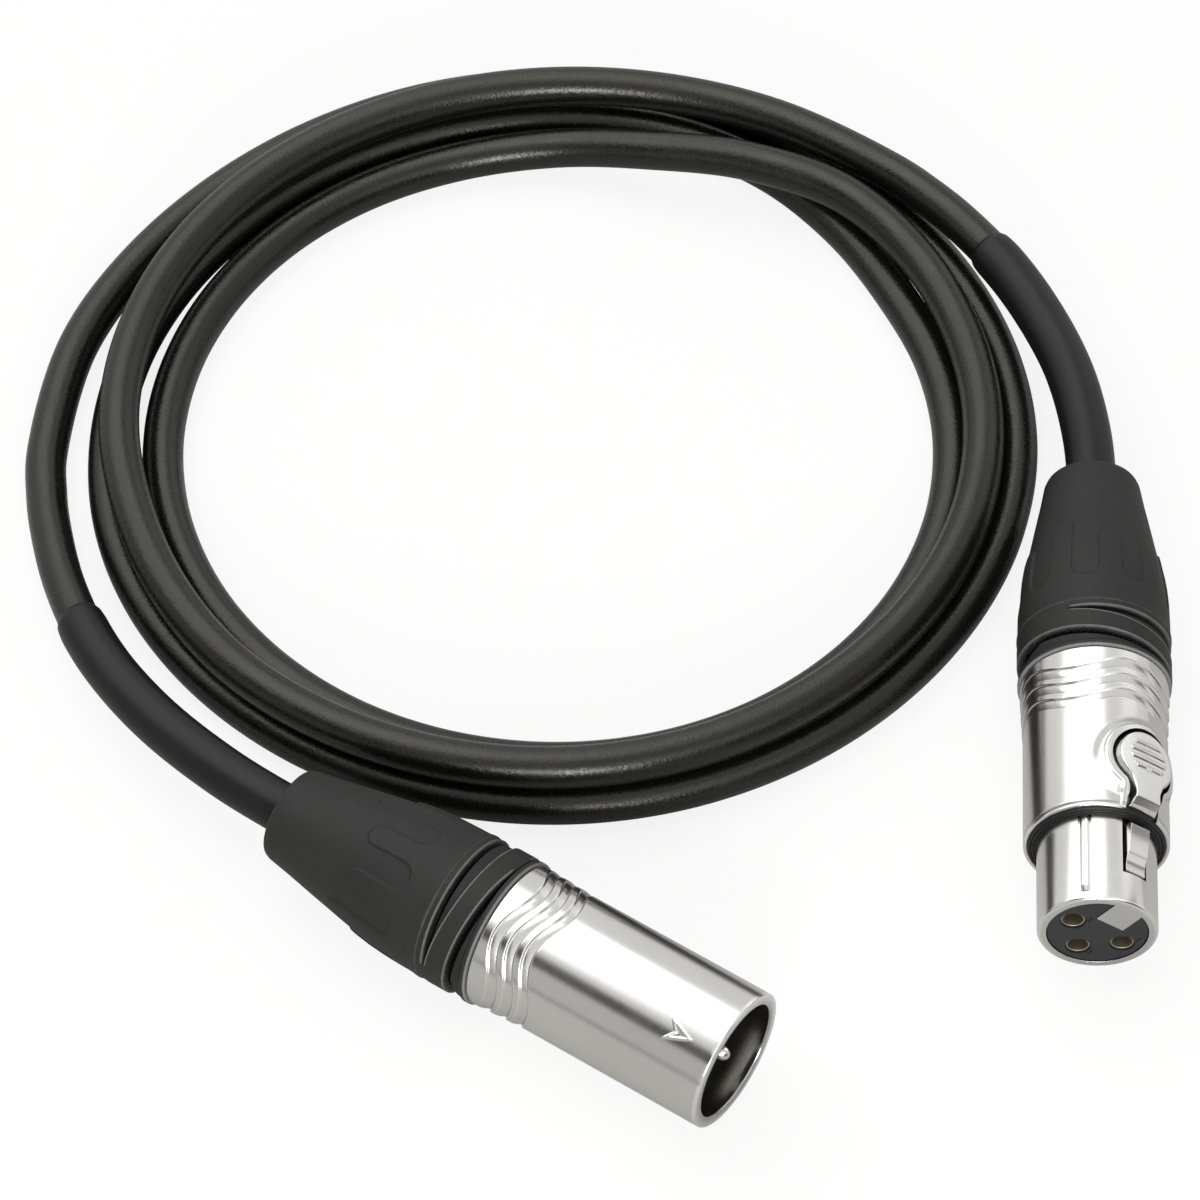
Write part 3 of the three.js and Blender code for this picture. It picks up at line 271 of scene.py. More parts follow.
class Paint(Enum):
    """The finishes that the pieces wear."""

    JACKET = Finish(
        "jacket_pvc", (0.0050, 0.0050, 0.0040), (0.0038, 0.0038, 0.0030), roughness=0.27, spread=0.3,
        grain=0.00042, depth=0.000050, specular=0.36, tint=(1.0, 0.99, 0.88),
    )
    SLEEVE = Finish(
        "shrink_sleeve", (0.0050, 0.0050, 0.0050), (0.0065, 0.0065, 0.0065), roughness=0.4, spread=0.08,
        grain=0.0004, depth=0.000006, specular=0.22,
    )
    # The boot's edge colour is a painted highlight on slot rims and lips, and its hollow shade is painted
    # shade in slots and grip steps.
    BOOT = Finish(
        "boot_elastomer", (0.0125, 0.0125, 0.0121), (0.0145, 0.0145, 0.0141), roughness=0.6, spread=0.1,
        grain=0.00012, depth=0.000010, edge_colour=(0.200, 0.200, 0.195), edge_roughness=0.42,
        hollow_shade=0.2, specular=0.25,
    )
    # Near-black material with almost no gloss, laid on the boot's slots as painted shade.
    PAINTED_SLOT_SHADE = Finish(
        "boot_slot_painted_shade", (0.0020, 0.0020, 0.0020), (0.0030, 0.0030, 0.0030), roughness=0.85, spread=0.1,
        grain=0.00012, depth=0.000010, specular=0.03,
    )
    BLACK = Finish(
        "black_moulding", (0.0085, 0.0085, 0.0085), (0.0110, 0.0110, 0.0110), roughness=0.42, spread=0.1,
        grain=0.00014, depth=0.000006, edge_colour=(0.02, 0.02, 0.02), edge_roughness=0.35, specular=0.25,
    )
    # Nickel edges are lighter for polish wear and painted highlights; hollow shade is painted shade in
    # notches and inside the shell.
    NICKEL = Finish(
        "satin_nickel", (0.60, 0.585, 0.56), (0.56, 0.545, 0.52), metallic=1.0, roughness=0.21, spread=0.05,
        grain=0.00018, depth=0.0000030, edge_colour=(0.78, 0.765, 0.74), edge_roughness=0.14,
        hollow_shade=0.55, drift_size=0.02,
    )
    POLISHED = Finish(
        "polished_nickel", (0.68, 0.665, 0.64), (0.64, 0.625, 0.60), metallic=1.0, roughness=0.17,
        spread=0.05, grain=0.0002, depth=0.000002, edge_colour=(0.82, 0.80, 0.78), edge_roughness=0.1,
    )
    INSULATOR = Finish(
        "insulator", (0.019, 0.019, 0.0195), (0.016, 0.016, 0.0165), roughness=0.55, spread=0.1,
        grain=0.00015, depth=0.000006, specular=0.3,
    )
    BRASS = Finish(
        "contact_bronze", (0.36, 0.31, 0.24), (0.28, 0.24, 0.18), metallic=1.0, roughness=0.45, spread=0.12,
        grain=0.0002, depth=0.000002,
    )
    PIN = Finish(
        "contact_plate", (0.66, 0.63, 0.58), (0.60, 0.57, 0.52), metallic=1.0, roughness=0.16, spread=0.05,
        grain=0.0002, depth=0.000002,
    )
    STEEL = Finish(
        "spring_steel", (0.45, 0.45, 0.45), (0.40, 0.40, 0.40), metallic=1.0, roughness=0.3,
        grain=0.0001, depth=0.000002,
    )
    WHITE = Finish("wire_white", (0.75, 0.75, 0.72), (0.70, 0.70, 0.67), roughness=0.4)
    RED = Finish("wire_red", (0.35, 0.02, 0.02), (0.30, 0.018, 0.018), roughness=0.4)
    COPPER = Finish(
        "screen_copper", (0.62, 0.30, 0.18), (0.50, 0.23, 0.14), metallic=1.0, roughness=0.35,
        grain=0.00025, depth=0.00002,
    )


class Palette:
    """Makes each finish's material once."""

    def __init__(self):
        self.grain = grain_group()
        self.mottle = mottle_group()
        self.wear_and_painted_light = wear_and_painted_light_group()
        self.made: dict[Paint, bpy.types.Material] = {}

    def material(self, paint: Paint) -> bpy.types.Material:
        """The material of a finish, made when it is first asked for."""
        if paint not in self.made:
            self.made[paint] = self._build(paint.value)
        return self.made[paint]

    def _use(self, tree, group: bpy.types.NodeTree, inputs: dict) -> bpy.types.Node:
        """Adds a shared group to a material's tree, with its own values."""
        node = tree.nodes.new("ShaderNodeGroup")
        node.node_tree = group
        for label, value in inputs.items():
            node.inputs[label].default_value = value
        return node

    def _build(self, finish: Finish) -> bpy.types.Material:
        """Makes a material of grain, slow drift and, where the finish has them, polished edges with painted
        highlights and painted shade in hollows.

        Args:
            finish: its numbers.

        Returns:
            The material.
        """
        material = bpy.data.materials.new(finish.name)
        material.use_nodes = True
        tree = material.node_tree
        tree.nodes.clear()
        shader = tree.nodes.new("ShaderNodeBsdfPrincipled")
        out = tree.nodes.new("ShaderNodeOutputMaterial")
        tree.links.new(shader.outputs[0], out.inputs[0])
        shader.inputs["Metallic"].default_value = finish.metallic
        shader.inputs["Specular IOR Level"].default_value = finish.specular
        shader.inputs["Specular Tint"].default_value = (*finish.tint, 1.0)
        grain = self._use(tree, self.grain, {
            "Size": finish.grain, "Depth": finish.depth,
            "Roughness": finish.roughness, "Spread": finish.spread,
        })
        mottle = self._use(tree, self.mottle, {
            "Base": (*finish.colour, 1.0), "Drift": (*finish.drift, 1.0),
            "Size": finish.drift_size, "Fleck": 0.3,
        })
        tree.links.new(grain.outputs["Normal"], shader.inputs["Normal"])
        colour, rough = mottle.outputs["Color"], grain.outputs["Roughness"]
        if finish.edge_colour:
            # Edge mask: polish wear with a painted highlight in edge_colour; hollow mask: painted shade, the
            # colour multiplied by hollow_shade.
            wear_and_painted_light = self._use(tree, self.wear_and_painted_light, {"Break": 0.3})
            edge_wear_and_highlight = mixed_colour(tree, wear_and_painted_light.outputs["Edge"], colour, (*finish.edge_colour, 1.0))
            shade = (*[finish.hollow_shade] * 3, 1.0)
            colour = mixed_colour(tree, wear_and_painted_light.outputs["Hollow"], edge_wear_and_highlight, shade, "MULTIPLY")
            rough = add_node(tree, "MapRange", {
                "Value": wear_and_painted_light.outputs["Edge"], "To Min": rough, "To Max": finish.edge_roughness,
            }).outputs["Result"]
        tree.links.new(colour, shader.inputs["Base Color"])
        tree.links.new(rough, shader.inputs["Roughness"])
        return material


# ---------------------------------------------------------------- mesh tools


def smoothstep(low: float, high: float, value):
    """0 below low, 1 above high, and an eased change between."""
    t = np.clip((np.asarray(value, float) - low) / (high - low), 0.0, 1.0)
    return t * t * (3.0 - 2.0 * t)


def filleted(corners: Sequence[tuple], steps: int = 4) -> Points:
    """Rounds the corners of a closed outline.

    Args:
        corners: points with an optional third number, the corner's radius.
        steps: segments in each rounded corner.

    Returns:
        The outline with arcs in place of those corners.
    """
    count = len(corners)
    result: Points = []
    for i, corner in enumerate(corners):
        radius = corner[2] if len(corner) > 2 else 0.0
        here = np.array(corner[:2], float)
        if radius <= 0:
            result.append(tuple(here))
            continue
        before = np.array(corners[(i - 1) % count][:2], float) - here
        after = np.array(corners[(i + 1) % count][:2], float) - here
        lengths = np.linalg.norm(before), np.linalg.norm(after)
        before, after = before / lengths[0], after / lengths[1]
        half = math.acos(float(np.clip(before @ after, -1, 1))) / 2
        reach = min(radius / math.tan(half), 0.48 * min(lengths))
        start, end = here + before * reach, here + after * reach
        for k in range(steps + 1):
            t = k / steps
            result.append(tuple((1 - t) ** 2 * start + 2 * t * (1 - t) * here + t * t * end))
    return result


def divided(points: Points, step: float) -> Points:
    """Divides the long edges of a closed outline.

    Args:
        points: the outline.
        step: the longest edge that stays.

    Returns:
        The outline with more points on its long edges.
    """
    result: Points = []
    for i, here in enumerate(points):
        result.append(here)
        there = points[(i + 1) % len(points)]
        length = math.dist(here, there)
        if length > step:
            count = math.ceil(length / step)
            result += [
                (here[0] + (there[0] - here[0]) * k / count, here[1] + (there[1] - here[1]) * k / count)
                for k in range(1, count)
            ]
    return result


@dataclass(frozen=True)
class Seat:
    """A connector's place: from its own millimetres to the row frame's metres.

    Attributes:
        entry: where the cable enters, in millimetres.
        heading: bearing of its mouth, in degrees.
        roll: how far its latch or key is turned from straight up, in degrees.
    """

    entry: tuple[float, float, float]
    heading: float
    roll: float

    @property
    def matrix(self) -> Matrix:
        """The whole change of frame."""
        return (
            Matrix.Translation(Vector(self.entry) * MM)
            @ Matrix.Rotation(math.radians(self.heading), 4, "Z")
            @ Matrix.Rotation(math.radians(self.roll), 4, "X")
            @ Matrix.Scale(MM, 4)
        )

    def shift(self, x: float, y: float, z: float) -> Matrix:
        """A shift given in the connector's millimetres, as a row-frame matrix."""
        return self.matrix @ Matrix.Translation((x, y, z)) @ self.matrix.inverted()

    def rolled(self, degrees: float) -> Matrix:
        """The change of frame with a further turn about the connector's axis."""
        return self.matrix @ Matrix.Rotation(math.radians(degrees), 4, "X")


def object_from(name: str, vertices, faces, matrix: Matrix | None = None) -> bpy.types.Object:
    """Makes a smooth-shaded mesh object.

    Args:
        name: the piece's name.
        vertices: an n by 3 array.
        faces: lists of vertex numbers.
        matrix: where the mesh is placed.

    Returns:
        The object, linked to the scene.
    """
    mesh = bpy.data.meshes.new(name)
    mesh.from_pydata([tuple(map(float, v)) for v in vertices], [], [list(map(int, f)) for f in faces])
    if matrix is not None:
        mesh.transform(matrix)
    mesh.validate()
    mesh.polygons.foreach_set("use_smooth", [True] * len(mesh.polygons))
    thing = bpy.data.objects.new(name, mesh)
    bpy.context.scene.collection.objects.link(thing)
    return thing


def paint_mask(thing: bpy.types.Object, name: str, values=None) -> None:
    """Writes a mask for the materials to read.

    Args:
        thing: the piece.
        name: the mask's name.
        values: one number for each vertex, or nothing for an empty mask.
    """
    layer = thing.data.attributes.new(name, "FLOAT", "POINT")
    if values is not None:
        layer.data.foreach_set("value", np.asarray(values, np.float32))


def loop_faces(rings: int, around: int, closed: bool) -> list[tuple[int, int, int, int]]:
    """Lists the faces between neighbouring rings of a grid.

    Args:
        rings: number of rings.
        around: vertices in each.
        closed: whether the last ring joins the first.

    Returns:
        Four vertex numbers for each face.
    """
    last = rings if closed else rings - 1
    return [
        (
            i * around + k,
            i * around + (k + 1) % around,
            ((i + 1) % rings) * around + (k + 1) % around,
            ((i + 1) % rings) * around + k,
        )
        for i in range(last)
        for k in range(around)
    ]


def clean(thing: bpy.types.Object) -> None:
    """Merges doubled vertices and turns the faces outwards."""
    work = bmesh.new()
    work.from_mesh(thing.data)
    bmesh.ops.remove_doubles(work, verts=work.verts, dist=1e-6)
    bmesh.ops.dissolve_degenerate(work, edges=work.edges, dist=1e-7)
    bmesh.ops.recalc_face_normals(work, faces=work.faces)
    work.to_mesh(thing.data)
    work.free()


def turned(
    name: str,
    outline: Sequence[tuple],
    seat: Seat,
    around: int = 96,
    step: float = 0.0,
    relief: Relief | None = None,
    masks: dict[str, Relief] | None = None,
) -> bpy.types.Object:
    """Turns a closed outline round the connector's axis, with an optional relief.

    Args:
        name: the piece's name.
        outline: corners of (distance, radius, fillet), in millimetres.
        seat: the connector's place.
        around: vertices round the axis.
        step: the longest edge along the outline, or 0.
        relief: height added to the radius, from distance, angle from the latch and radius.
        masks: vertex masks from the same three arrays.

    Returns:
        The new object.
    """
    points = filleted(outline)
    if step:
        points = divided(points, step)
    x, r = (np.array(column, float)[:, None] for column in zip(*points))
    phi = np.linspace(0, 2 * math.pi, around, endpoint=False)[None, :]
    x, r, phi = np.broadcast_arrays(x, r, phi)
    lifted = r + relief(x, phi, r) if relief else r
    grid = np.stack([x, lifted * np.sin(phi), lifted * np.cos(phi)], axis=-1).reshape(-1, 3)
    thing = object_from(name, grid, loop_faces(len(points), around, True), seat.matrix)
    for label, mask in (masks or {}).items():
        paint_mask(thing, label, mask(x, phi, r).reshape(-1))
    clean(thing)
    return thing


def prism(name: str, outline: Points, low: float, high: float, matrix: Matrix) -> bpy.types.Object:
    """Raises a flat outline in x and y between two heights, and places it."""
    count = len(outline)
    vertices = [(x, y, z) for z in (low, high) for x, y in outline]
    faces = [tuple(range(count))[::-1], tuple(range(count, 2 * count))]
    faces += [(k, (k + 1) % count, count + (k + 1) % count, count + k) for k in range(count)]
    thing = object_from(name, vertices, faces, matrix)
    clean(thing)
    thing.data.polygons.foreach_set("use_smooth", [False] * len(thing.data.polygons))
    return thing


def box(name: str, low: Sequence[float], high: Sequence[float], matrix: Matrix) -> bpy.types.Object:
    """A block between two corners, placed by a matrix."""
    outline = [(low[0], low[1]), (high[0], low[1]), (high[0], high[1]), (low[0], high[1])]
    return prism(name, outline, low[2], high[2], matrix)


def carved(thing: bpy.types.Object, cutters: Sequence[bpy.types.Object], join: bool = False) -> None:
    """Cuts other solids out of a piece, or joins them to it, and removes them.

    Args:
        thing: the piece.
        cutters: the other solids.
        join: whether they are joined instead of cut out.
    """
    for cutter in cutters:
        change = thing.modifiers.new("carve", "BOOLEAN")
        change.object = cutter
        change.operation = "UNION" if join else "DIFFERENCE"
        change.solver = "EXACT"
        graph = bpy.context.evaluated_depsgraph_get()
        mesh = bpy.data.meshes.new_from_object(thing.evaluated_get(graph))
        thing.modifiers.clear()
        old = thing.data
        thing.data = mesh
        bpy.data.meshes.remove(old)
        bpy.data.objects.remove(cutter)


def edged(thing: bpy.types.Object, width: float, angle: float = 35.0) -> None:
    """Bevels the sharp edges of a piece and keeps its flats flat.

    Args:
        thing: the piece.
        width: bevel width in millimetres.
        angle: the least angle that is bevelled, in degrees.
    """
    bevel = thing.modifiers.new("edge", "BEVEL")
    bevel.width = width * MM
    bevel.segments = 2
    bevel.limit_method = "ANGLE"
    bevel.angle_limit = math.radians(angle)
    bevel.harden_normals = True
    bevel.use_clamp_overlap = True


def creased(thing: bpy.types.Object, angle: float = 30.0) -> None:
    """Shades a piece smooth with its sharp edges kept sharp."""
    thing.data.polygons.foreach_set("use_smooth", [True] * len(thing.data.polygons))
    thing.data.set_sharp_from_angle(angle=math.radians(angle))


def capsule(x: np.ndarray, y: np.ndarray, start: float, end: float, radius: float) -> np.ndarray:
    """Signed distance to a round-ended bar along x: negative inside."""
    return np.hypot(x - np.clip(x, start, end), y) - radius


def line_at(offset: np.ndarray, width: float) -> np.ndarray:
    """A soft line: 1 on it, and fading over its width to both sides."""
    return np.exp(-((offset / width) ** 2))


def fit_piece(
    thing: bpy.types.Object,
    material: bpy.types.Material,
    nodes: Sequence[str] = (),
    body: str = "root",
) -> None:
    """Gives a piece its finish and body, and reports it.

    Args:
        thing: the piece.
        material: its finish.
        nodes: the CAD nodes that it stands for.
        body: the body that it rides on.
    """
    thing.data.materials.clear()
    thing.data.materials.append(material)
    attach(thing, body)
    if nodes:
        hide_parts(*nodes)
    LOG.info("%s, %d faces, on %s", thing.name, len(thing.data.polygons), body)


# ---------------------------------------------------------------- the cable


@dataclass
class CableRoute:
    """The line that the cable follows, in metres, from the male boot to the female boot.

    Attributes:
        centre: middle of the coil in the row frame, in millimetres.
        male: the male connector's place.
        female: the female connector's place.
        diameter: of the cable, in millimetres like the rest.
        pitch: from one turn to the next that lies against it.
        coil_radius: of the innermost turn, to the middle of the cable.
        start_angle: where the first turn starts, in degrees.
        per_turn: points in a turn.
        stub: straight end of the coil.
        stations: angle from the start, then how far out and how high the cable lies, in pitches.
        male_rows: share of the way from the coil to the male boot, how far to its left in
            diameters, and share of the rise.
        female_rows: the same for the female boot.
    """

    centre: tuple[float, float]
    male: Seat
    female: Seat
    diameter: float = 5.8
    pitch: float = 6.4
    coil_radius: float = 56.0
    start_angle: float = 213.8
    per_turn: int = 24
    stub: float = 2.0
    stations: tuple = (
        (0, 2.55, 0), (5, 2.52, 0), (15, 2.42, 0), (30, 2.2, 0), (50, 2.03, 0), (90, 2.0, 0), (115, 1.84, 0),
        (135, 1.56, 0), (150, 1.48, 0), (180, 1.42, 0), (225, 1.08, 0), (270, 1.05, 0),
        (315, 1.17, 0), (340, 1.24, 0), (360, 1.19, 0), (390, 1.08, 0), (410, 1.01, 0),
        (450, 1.0, 0), (465, 0.93, 0), (480, 0.7, 0), (495, 0.32, 0), (510, 0.03, 0),
        (525, 0, 0), (630, 0, 0), (720, 0, 0), (780, 0, 0), (795, -0.03, 0.05), (810, -0.16, 0.3),
        (825, -0.36, 0.75), (840, -0.1, 1.06), (855, 0.42, 1.05), (870, 0.6, 0.9), (885, 0.62, 0.82),
        (900, 0.62, 0.81),
        (945, 0.64, 0.93), (990, 0.84, 1.0), (1035, 0.97, 1.0), (1060, 0.83, 0.95),
        (1080, 0.92, 0.99), (1110, 0.98, 1.02), (1140, 1.0, 1.02), (1170, 1.13, 1.0),
        (1185, 1.26, 0.98), (1200, 1.44, 0.98), (1210, 1.59, 0.98), (1215, 1.68, 0.98),
    )
    male_rows: tuple = (
        (0.08, -0.51, 0.02), (0.16, -0.91, 0.09), (0.32, -1.47, 0.27), (0.5, -1.7, 0.5), (0.68, -1.46, 0.71),
        (0.86, -0.79, 0.89),
    )
    female_rows: tuple = (
        (0.08, 0.43, -0.08), (0.18, 0.85, -0.18), (0.34, 1.25, -0.2), (0.5, 1.35, -0.04), (0.68, 1.17, 0.44),
        (0.86, 0.64, 0.83),
    )

    def _coil(self) -> np.ndarray:
        """Points of the coil, from the male end to the female end."""
        table = np.array(self.stations, float)
        sweep = table[-1, 0]
        angles = np.linspace(0, sweep, round(sweep / 360 * self.per_turn) + 1)
        angles = np.concatenate([[0, 1], angles[1:-1], [sweep - 1, sweep]])
        out, up = (eased(table[:, 0], table[:, k], angles) for k in (1, 2))
        radius = self.coil_radius + out * self.pitch
        bearing = np.radians(self.start_angle - angles)
        return np.stack([
            self.centre[0] + radius * np.cos(bearing),
            self.centre[1] + radius * np.sin(bearing),
            self.diameter / 2 + np.maximum(up, 0) * self.pitch,
        ], axis=1)

    def _lead(self, rows: tuple, start: np.ndarray, door: np.ndarray) -> np.ndarray:
        """Points of a lead.

        Args:
            rows: male_rows or female_rows.
            start: where the lead leaves the coil.
            door: where it enters the boot.

        Returns:
            One point for each row.
        """
        way = door - start
        left = np.array([-way[1], way[0], 0.0])
        left *= self.diameter / np.linalg.norm(left)
        points = [start + way * share + left * aside for share, aside, _ in rows]
        for point, (_, _, lift) in zip(points, rows):
            point[2] = start[2] + (door[2] - start[2]) * lift
        return np.array(points)

    def line(self, inside: float = 6.0, spacing: float = 1.6) -> np.ndarray:
        """The whole centreline.

        Args:
            inside: how far it runs on into each boot, in millimetres.
            spacing: distance between its points, in millimetres.

        Returns:
            An n by 3 array in millimetres, from the male end to the female end.
        """
        coil = self._coil()
        ends = []
        for rows, tip, inner, seat in (
            (self.male_rows, coil[0], coil[1], self.male),
            (self.female_rows, coil[-1], coil[-2], self.female),
        ):
            away = (tip - inner) / np.linalg.norm(tip - inner)
            start = tip + away * self.stub
            door = np.array(seat.entry, float)
            heading = math.radians(seat.heading)
            inwards = np.array([math.cos(heading), math.sin(heading), 0.0])
            ends.append(np.vstack([start, self._lead(rows, start, door), door, door + inwards * inside]))
        rough = np.vstack([ends[0][::-1], coil[2:-2], ends[1]])
        return respaced(rough, spacing)


def eased(places: np.ndarray, values: np.ndarray, at: np.ndarray) -> np.ndarray:
    """Reads a table along a smooth curve through its rows.

    Args:
        places: the table's places, rising.
        values: the value at each.
        at: the places to read.

    Returns:
        One value for each place read.
    """
    slopes = np.empty_like(values)
    slopes[1:-1] = (values[2:] - values[:-2]) / (places[2:] - places[:-2])
    slopes[0] = (values[1] - values[0]) / (places[1] - places[0])
    slopes[-1] = (values[-1] - values[-2]) / (places[-1] - places[-2])
    row = np.clip(np.searchsorted(places, at, "right") - 1, 0, len(places) - 2)
    span = places[row + 1] - places[row]
    t = (at - places[row]) / span
    rise = values[row + 1] - values[row]
    before, after = slopes[row] * span, slopes[row + 1] * span
    return values[row] + t * (before + t * (3 * rise - 2 * before - after + t * (before + after - 2 * rise)))


def lengths_along(points: np.ndarray) -> np.ndarray:
    """Distance of each point from the first, along the line."""
    return np.concatenate([[0], np.cumsum(np.linalg.norm(np.diff(points, axis=0), axis=1))])


def blend(t: float, first: np.ndarray, second: np.ndarray, start: float, end: float) -> np.ndarray:
    """The point between two at a time t, from one's time to the other's."""
    return ((end - t) * first + (t - start) * second) / (end - start)


def respaced(points: np.ndarray, spacing: float) -> np.ndarray:
    """Draws a centripetal Catmull-Rom curve through points.

    Args:
        points: an n by 3 array.
        spacing: distance between the new points.

    Returns:
        Evenly spaced points of the curve.
    """
    padded = np.vstack([2 * points[0] - points[1], points, 2 * points[-1] - points[-2]])
    dense = []
    for p0, p1, p2, p3 in zip(padded, padded[1:], padded[2:], padded[3:]):
        spans = [max(np.linalg.norm(b - a), 1e-9) ** 0.5 for a, b in ((p0, p1), (p1, p2), (p2, p3))]
        k0, k1, k2, k3 = np.cumsum([0.0, *spans])
        for t in np.linspace(k1, k2, 12, endpoint=False):
            a1, a2, a3 = blend(t, p0, p1, k0, k1), blend(t, p1, p2, k1, k2), blend(t, p2, p3, k2, k3)
            b1, b2 = blend(t, a1, a2, k0, k2), blend(t, a2, a3, k1, k3)
            dense.append(blend(t, b1, b2, k1, k2))
    dense.append(points[-1])
    dense = np.array(dense)
    along = lengths_along(dense)
    even = np.linspace(0, along[-1], max(2, round(along[-1] / spacing) + 1))
    return np.stack([np.interp(even, along, dense[:, k]) for k in range(3)], axis=1)


def tube_along(name: str, line: np.ndarray, radius, around: int = 28, bore: float = 0.0) -> bpy.types.Object:
    """Sweeps a round section along a line.

    Args:
        name: the piece's name.
        line: points in millimetres.
        radius: one radius, or one for each point.
        around: vertices round the section.
        bore: inner radius, where the tube is hollow.

    Returns:
        The new object.
    """
    radii = np.broadcast_to(np.asarray(radius, float), (len(line),))
    tangent = np.gradient(line, axis=0)
    tangent /= np.linalg.norm(tangent, axis=1)[:, None]
    side = np.cross(tangent, (0.0, 0.0, 1.0))
    side /= np.linalg.norm(side, axis=1)[:, None]
    top = np.cross(side, tangent)
    turn = np.linspace(0, 2 * math.pi, around, endpoint=False)
    spoke = side[:, None] * np.sin(turn)[None, :, None] + top[:, None] * np.cos(turn)[None, :, None]
    outer = line[:, None] + spoke * radii[:, None, None]
    rings = [outer]
    if bore:
        rings.append((line[:, None] + spoke * bore)[::-1])
    grid = np.concatenate(rings).reshape(-1, 3)
    count = len(grid) // around
    faces = loop_faces(count, around, bool(bore))
    if not bore:
        faces += [tuple(range(around))[::-1], tuple((count - 1) * around + k for k in range(around))]
    return object_from(name, grid, faces, Matrix.Scale(MM, 4))


@dataclass
class Cable:
    """The jacket in one unbroken tube, and the shrink sleeve at each connector.

    Attributes:
        route: the line that the cable follows.
        palette: the finishes.
        inside: how far the cable runs on into each boot, in millimetres.
        sleeve_radius: outside of the sleeves, in millimetres.
        sleeve_length: how far they show, in millimetres.
        length: of the whole cable, in metres; not used.
    """

    route: CableRoute
    palette: Palette
    inside: float = 6.0
    sleeve_radius: float = 3.46
    sleeve_length: float = 49.0
    length: float = 1.468

    def build(self) -> None:
        line = self.route.line(self.inside)
        jacket = tube_along("cable_jacket", line, self.route.diameter / 2)
        replaced = ("cable_coil", "male_lead", "female_lead")
        fit_piece(jacket, self.palette.material(Paint.JACKET), replaced)
        along = lengths_along(line)
        reach = self.inside + self.sleeve_length
        sleeves = [
            self._sleeve("male", line[along < reach]),
            self._sleeve("female", line[along > along[-1] - reach][::-1]),
        ]
        LOG.info("cable of %.3f m", along[-1] * MM)

    def _sleeve(self, end: str, line: np.ndarray) -> bpy.types.Object:
        """Makes one sleeve, drawn in at its free end.

        Args:
            end: male or female.
            line: the cable's line, from that boot to the sleeve's free end.

        Returns:
            The sleeve.
        """
        fine = respaced(line, 0.7)
        room = np.linalg.norm(fine - fine[-1], axis=1)
        drawn_in = 0.16 * (1 - smoothstep(0.0, 2.5, room)) + 0.25 * (1 - smoothstep(0.0, 0.5, room))
        radii = self.sleeve_radius - drawn_in
        sleeve = tube_along(f"{end}_shrink_sleeve", fine, radii, bore=self.route.diameter / 2 + 0.05)
        fit_piece(sleeve, self.palette.material(Paint.SLEEVE), [f"{end}_sleeve"])
        return sleeve


# ---------------------------------------------------------------- pieces in both connectors


